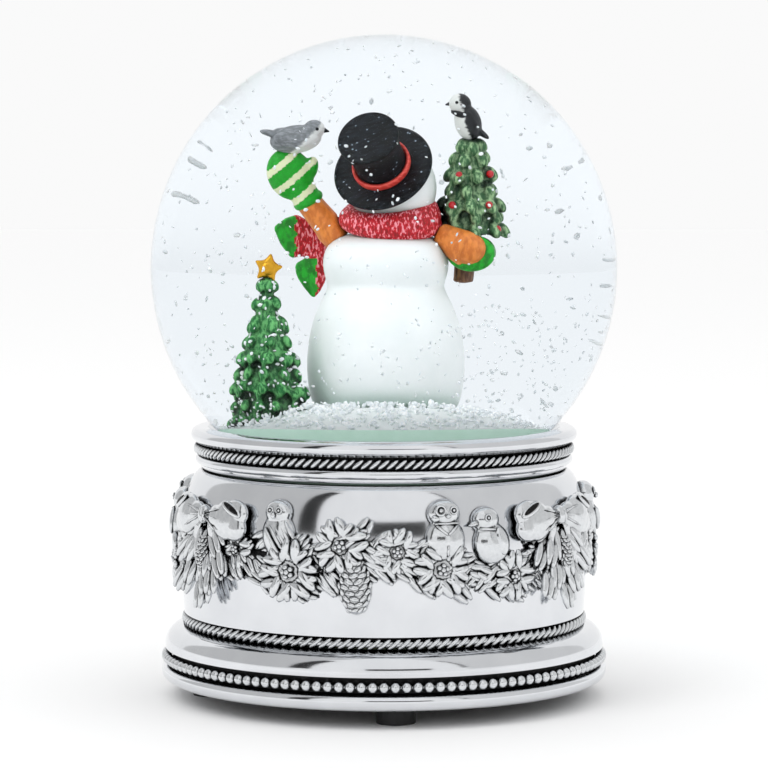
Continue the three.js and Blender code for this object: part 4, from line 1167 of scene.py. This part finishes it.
def sea_bird():
    """Black and white bird on top of the held tree."""
    feathers = plumage("sea_plumage", (30, 31, 35), (240, 240, 234), (13.1, BALL_Z + 24.4), (0.95, 0.22), 0.25)
    skin = [
        ("body", (13.5, 3.4, 23.3), (2.2, 2.2, 3.0), (0, -0.25, 0), 28, 18),
        ("head", (12.3, 3.4, 26.4), (1.85, 1.75, 1.8)),
        ("tail", (15.4, 3.4, 21.8), (1.9, 0.9, 0.5), (0, 0.65, 0)),
    ] + [("wing", (14.2, y, 23.4), (0.9, 0.5, 2.3), (0, -0.35, 0)) for y in (1.8, 5.0)]
    beak = ((11.0, 3.4, 26.5), (9.9, 3.4, 26.2), 0.5)
    eyes = [((11.9, y, 27.0), (0.28, 0.2, 0.28)) for y in (1.85, 4.95)]
    ring = ((12.75, 3.4, 24.8), 1.55, 0.55, (0, 0.3, 0), 32, 8)
    return painted_bird("sea_bird", feathers, skin, beak, eyes, [ring])


def branch_tiers(name, foot, tiers, grain, dice):
    """Cones ringed with drooping lobes, one above another."""
    x, y, z = foot
    parts = []
    for low, high, low_r, high_r in tiers:
        parts.append(taper("core", (x, y, z + low + 0.4), (x, y, z + high), low_r * 0.86, high_r * 0.8, 24))
        for row, share in enumerate((0.06, 0.42, 0.74)):
            height = low + (high - low) * share + 0.6
            radius = (low_r + (high_r - low_r) * share) * 0.9
            count = max(5, round(radius * 1.7))
            for k in range(count):
                a = tau * (k + 0.5 * (row % 2)) / count + dice.uniform(-0.1, 0.1)
                spot = (x + radius * cos(a), y + radius * sin(a), z + height + dice.uniform(-0.2, 0.2))
                lobe = 0.95 + 0.05 * radius
                parts.append(ball("lobe", spot, (1.35 * lobe, 1.05, 0.95), (0, radians(48), a), 10, 7))
    return melted(name, parts, grain, 2)


def dusting(name, node, count, dice, finish, size=(0.7, 1.3)):
    """Flakes that lie on a piece, set on points of its skin."""
    flake, skin, parts = flake_template(), bpy.data.objects[node], []
    spots = [v for v in skin.data.vertices if v.normal.z > -0.1]
    for vertex in dice.sample(spots, min(count, len(spots))):
        move = Matrix.Translation(vertex.co + vertex.normal * 0.05 * MM)
        parts.append(stamped(flake, move @ any_turn(dice) @ Matrix.Scale(dice.uniform(*size), 4)))
    thrown_away(flake)
    return coated(joined(name, parts), finish)


def standing_tree():
    dice = random.Random(13)
    tiers = [(0.0, 9, 8.7, 4.9), (6.9, 14.6, 6.9, 3.8), (12.6, 20.6, 5.2, 2.2), (18.6, 27.6, 2.9, 0.5)]
    foot = in_ball(-19.6, -6, -28.6)
    kept(coated(branch_tiers("standing_fir", foot, tiers, 0.3, dice), FIR), "foliage_paint", "standing_tree")
    kept(dusting("fir_snow", "standing_fir", 240, dice, FLAKE, (0.8, 1.5)), "flakes")
    star()


def star():
    """Five-pointed star with raised arms."""
    spot = middle("tree_star")
    outline = []
    for k in range(10):
        a = radians(78 + 36 * k)
        r = 2.7 if k % 2 == 0 else 1.45
        outline.append((spot.x + r * cos(a), spot.z + r * sin(a)))
    made = slab("fir_star", outline, spot.y + 0.75, spot.y - 0.75, 0.55)
    hub = ball("hub", spot, (1.5, 1.15, 1.5))
    return kept(coated(joined("fir_star", [made, hub]), GOLD), "gold_paint", "tree_star")


def held_tree():
    """Small tree under the arm, with a trunk and red baubles."""
    dice = random.Random(3)
    foot = in_ball(13.8, 3.4, 5.6)
    tiers = [(-0.6, 5.4, 5.9, 3.4), (3.4, 10, 5.2, 2.4), (8.2, 15.2, 3.8, 1.2)]
    fir = coated(branch_tiers("held_fir", foot, tiers, 0.28, dice), PALE_FIR)
    trunk = melted("trunk", [
        taper("trunk", in_ball(12.6, 3.4, -2.2), in_ball(13.4, 3.4, 7), 1.6, 1.85, 20),
        ball("knot", in_ball(12.9, 2.2, -0.4), (0.6, 0.5, 0.9)),
        ball("end", in_ball(12.6, 3.4, -2), (1.65, 1.65, 0.5)),
    ], 0.22, 2)
    parts = [fir, coated(trunk, TRUNK)]
    for low, _, low_r, _ in tiers:
        for k in range(4):
            a = tau * (k + dice.random()) / 4
            r = low_r * 0.95
            spot = (foot[0] + r * cos(a), foot[1] + r * sin(a), foot[2] + low + 1.3)
            parts.append(coated(ball("bauble", spot, (0.62,) * 3, around=14, rings=9), BAUBLE))
    return kept(joined("held_fir", parts), "foliage_paint", "held_tree")


# ---- underside and movement

def keep_cad():
    """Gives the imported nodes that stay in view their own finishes."""
    by_finish = {
        BOARD: ["bottom_cover"], BLACK_RUBBER: [f"rubber_foot_{k}" for k in range(1, 5)],
        STEEL: [f"cover_screw_{k}" for k in range(1, 4)] + ["comb_screw_1", "comb_screw_2", "movement_screw_1",
                "movement_screw_2", "steel_comb", "mainspring", "cylinder_arbor", "governor_arbor", "governor_fly"],
        BRASS: ["movement_bedplate", "barrel_housing", "inner_bearing", "outer_bearing", "governor_frame",
                "comb_block", "pin_cylinder", "crown_wheel_arbor", "winding_key"],
    }
    for finish, names in by_finish.items():
        for name in names:
            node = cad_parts[name]
            for slot in node.material_slots:
                slot.material = finish
            if not node.material_slots:
                node.data.materials.append(finish)


# ---- studio

# Camera and lamps are in metres. A screen has a name, its first and last angle, its low edge, high edge and
# distance in millimetres, and its strength.
LENS, CAMERA_AT, CAMERA_DIP = 152.9, (0, -0.7, 0.1179), 4.16
AIM = (0, 0, 0.07)
LAMPS = (("key_lamp", (-0.75, -0.7, 1.2), 0.7, 4.5), ("fill_lamp", (0.9, -0.5, 0.9), 0.9, 1.2))
SCREENS = (
    ("left_grey", -128, -46, 60, 9000, 1500, 0.62), ("right_grey", 43, 128, 60, 7000, 1500, 0.76),
    ("left_dark", -49, -38, 170, 2600, 1450, 0.03), ("right_dark", 40.5, 43, 300, 2600, 1450, 0.1),
    ("low_dark", -9, 24, 160, 400, 1400, 0.05),
)
PAPER = 0.955


def glowing(name, strength):
    f = Finish(name)
    f.output(f.node("ShaderNodeEmission", {}, {"Color": (1, 1, 1, 1), "Strength": strength}))
    return f.material


def screen(name, start, end, low, high, distance, strength):
    """A curved studio screen that shows only in reflections; angles count from the camera."""
    made = drawn_line(name, [(0, -distance, low), (0, -distance, high)])
    pick_all()
    bpy.ops.transform.rotate(value=radians(-start), orient_axis="Z", center_override=(0, 0, 0))
    bpy.ops.mesh.spin(steps=24, angle=-radians(end - start), center=(0, 0, 0), axis=(0, 0, 1))
    editing(False)
    coated(made, glowing(name, strength))
    made.visible_camera = made.visible_shadow = made.visible_diffuse = made.visible_transmission = False
    return made


def studio():
    """Pale floor and world, two lamps, the screens and the camera."""
    bpy.ops.object.select_all(action="DESELECT")
    bpy.ops.mesh.primitive_plane_add(size=8, location=(0, 0, 0))
    floor = bpy.context.object
    floor.name = "floor"
    f = Finish("pale_floor")
    f.surface(Base_Color=(PAPER, PAPER, PAPER, 1), Roughness=0.9)
    coated(floor, f.material)

    for settings in SCREENS:
        screen(*settings)

    world = bpy.data.worlds.new("studio")
    bpy.context.scene.world = world
    world.use_nodes = True
    nodes, links = world.node_tree.nodes, world.node_tree.links
    nodes.clear()
    path, mix = nodes.new("ShaderNodeLightPath"), nodes.new("ShaderNodeMixShader")
    out = nodes.new("ShaderNodeOutputWorld")
    links.new(path.outputs["Is Camera Ray"], mix.inputs[0])
    for slot, strength in ((1, 1.0), (2, PAPER)):
        shade = nodes.new("ShaderNodeBackground")
        shade.inputs["Color"].default_value = (1, 1, 1, 1)
        shade.inputs["Strength"].default_value = strength
        links.new(shade.outputs[0], mix.inputs[slot])
    links.new(mix.outputs[0], out.inputs["Surface"])

    for name, spot, size, power in LAMPS:
        lamp = bpy.data.lights.new(name, "AREA")
        lamp.energy, lamp.size = power, size
        held = bpy.data.objects.new(name, lamp)
        held.visible_glossy = False
        bpy.context.scene.collection.objects.link(held)
        held.location = spot
        held.rotation_euler = (Vector(AIM) - Vector(spot)).to_track_quat("-Z", "Y").to_euler()

    eye = bpy.data.cameras.new("camera")
    eye.lens, eye.sensor_width, eye.clip_start = LENS, 36, 0.01
    camera = bpy.data.objects.new("camera", eye)
    bpy.context.scene.collection.objects.link(camera)
    camera.location = CAMERA_AT
    camera.rotation_euler = (radians(90 - CAMERA_DIP), 0, 0)
    bpy.context.scene.camera = camera
    bpy.context.scene.view_settings.view_transform = "Standard"


flange()
drum()
collar()
rope("lower_rope", "lower_rope_trim", **LOWER_ROPE)
rope("upper_rope", "upper_rope_trim", **UPPER_ROPE)
bead_ring()
garland()
bow()
glass_ball()
water_body()
stopper()
snow_mound()
settled_flakes()
floating_flakes()
snowman_body()
snowman_head()
top_hat()
scarf()
arms()
grey_bird()
sea_bird()
standing_tree()
held_tree()
keep_cad()
studio()
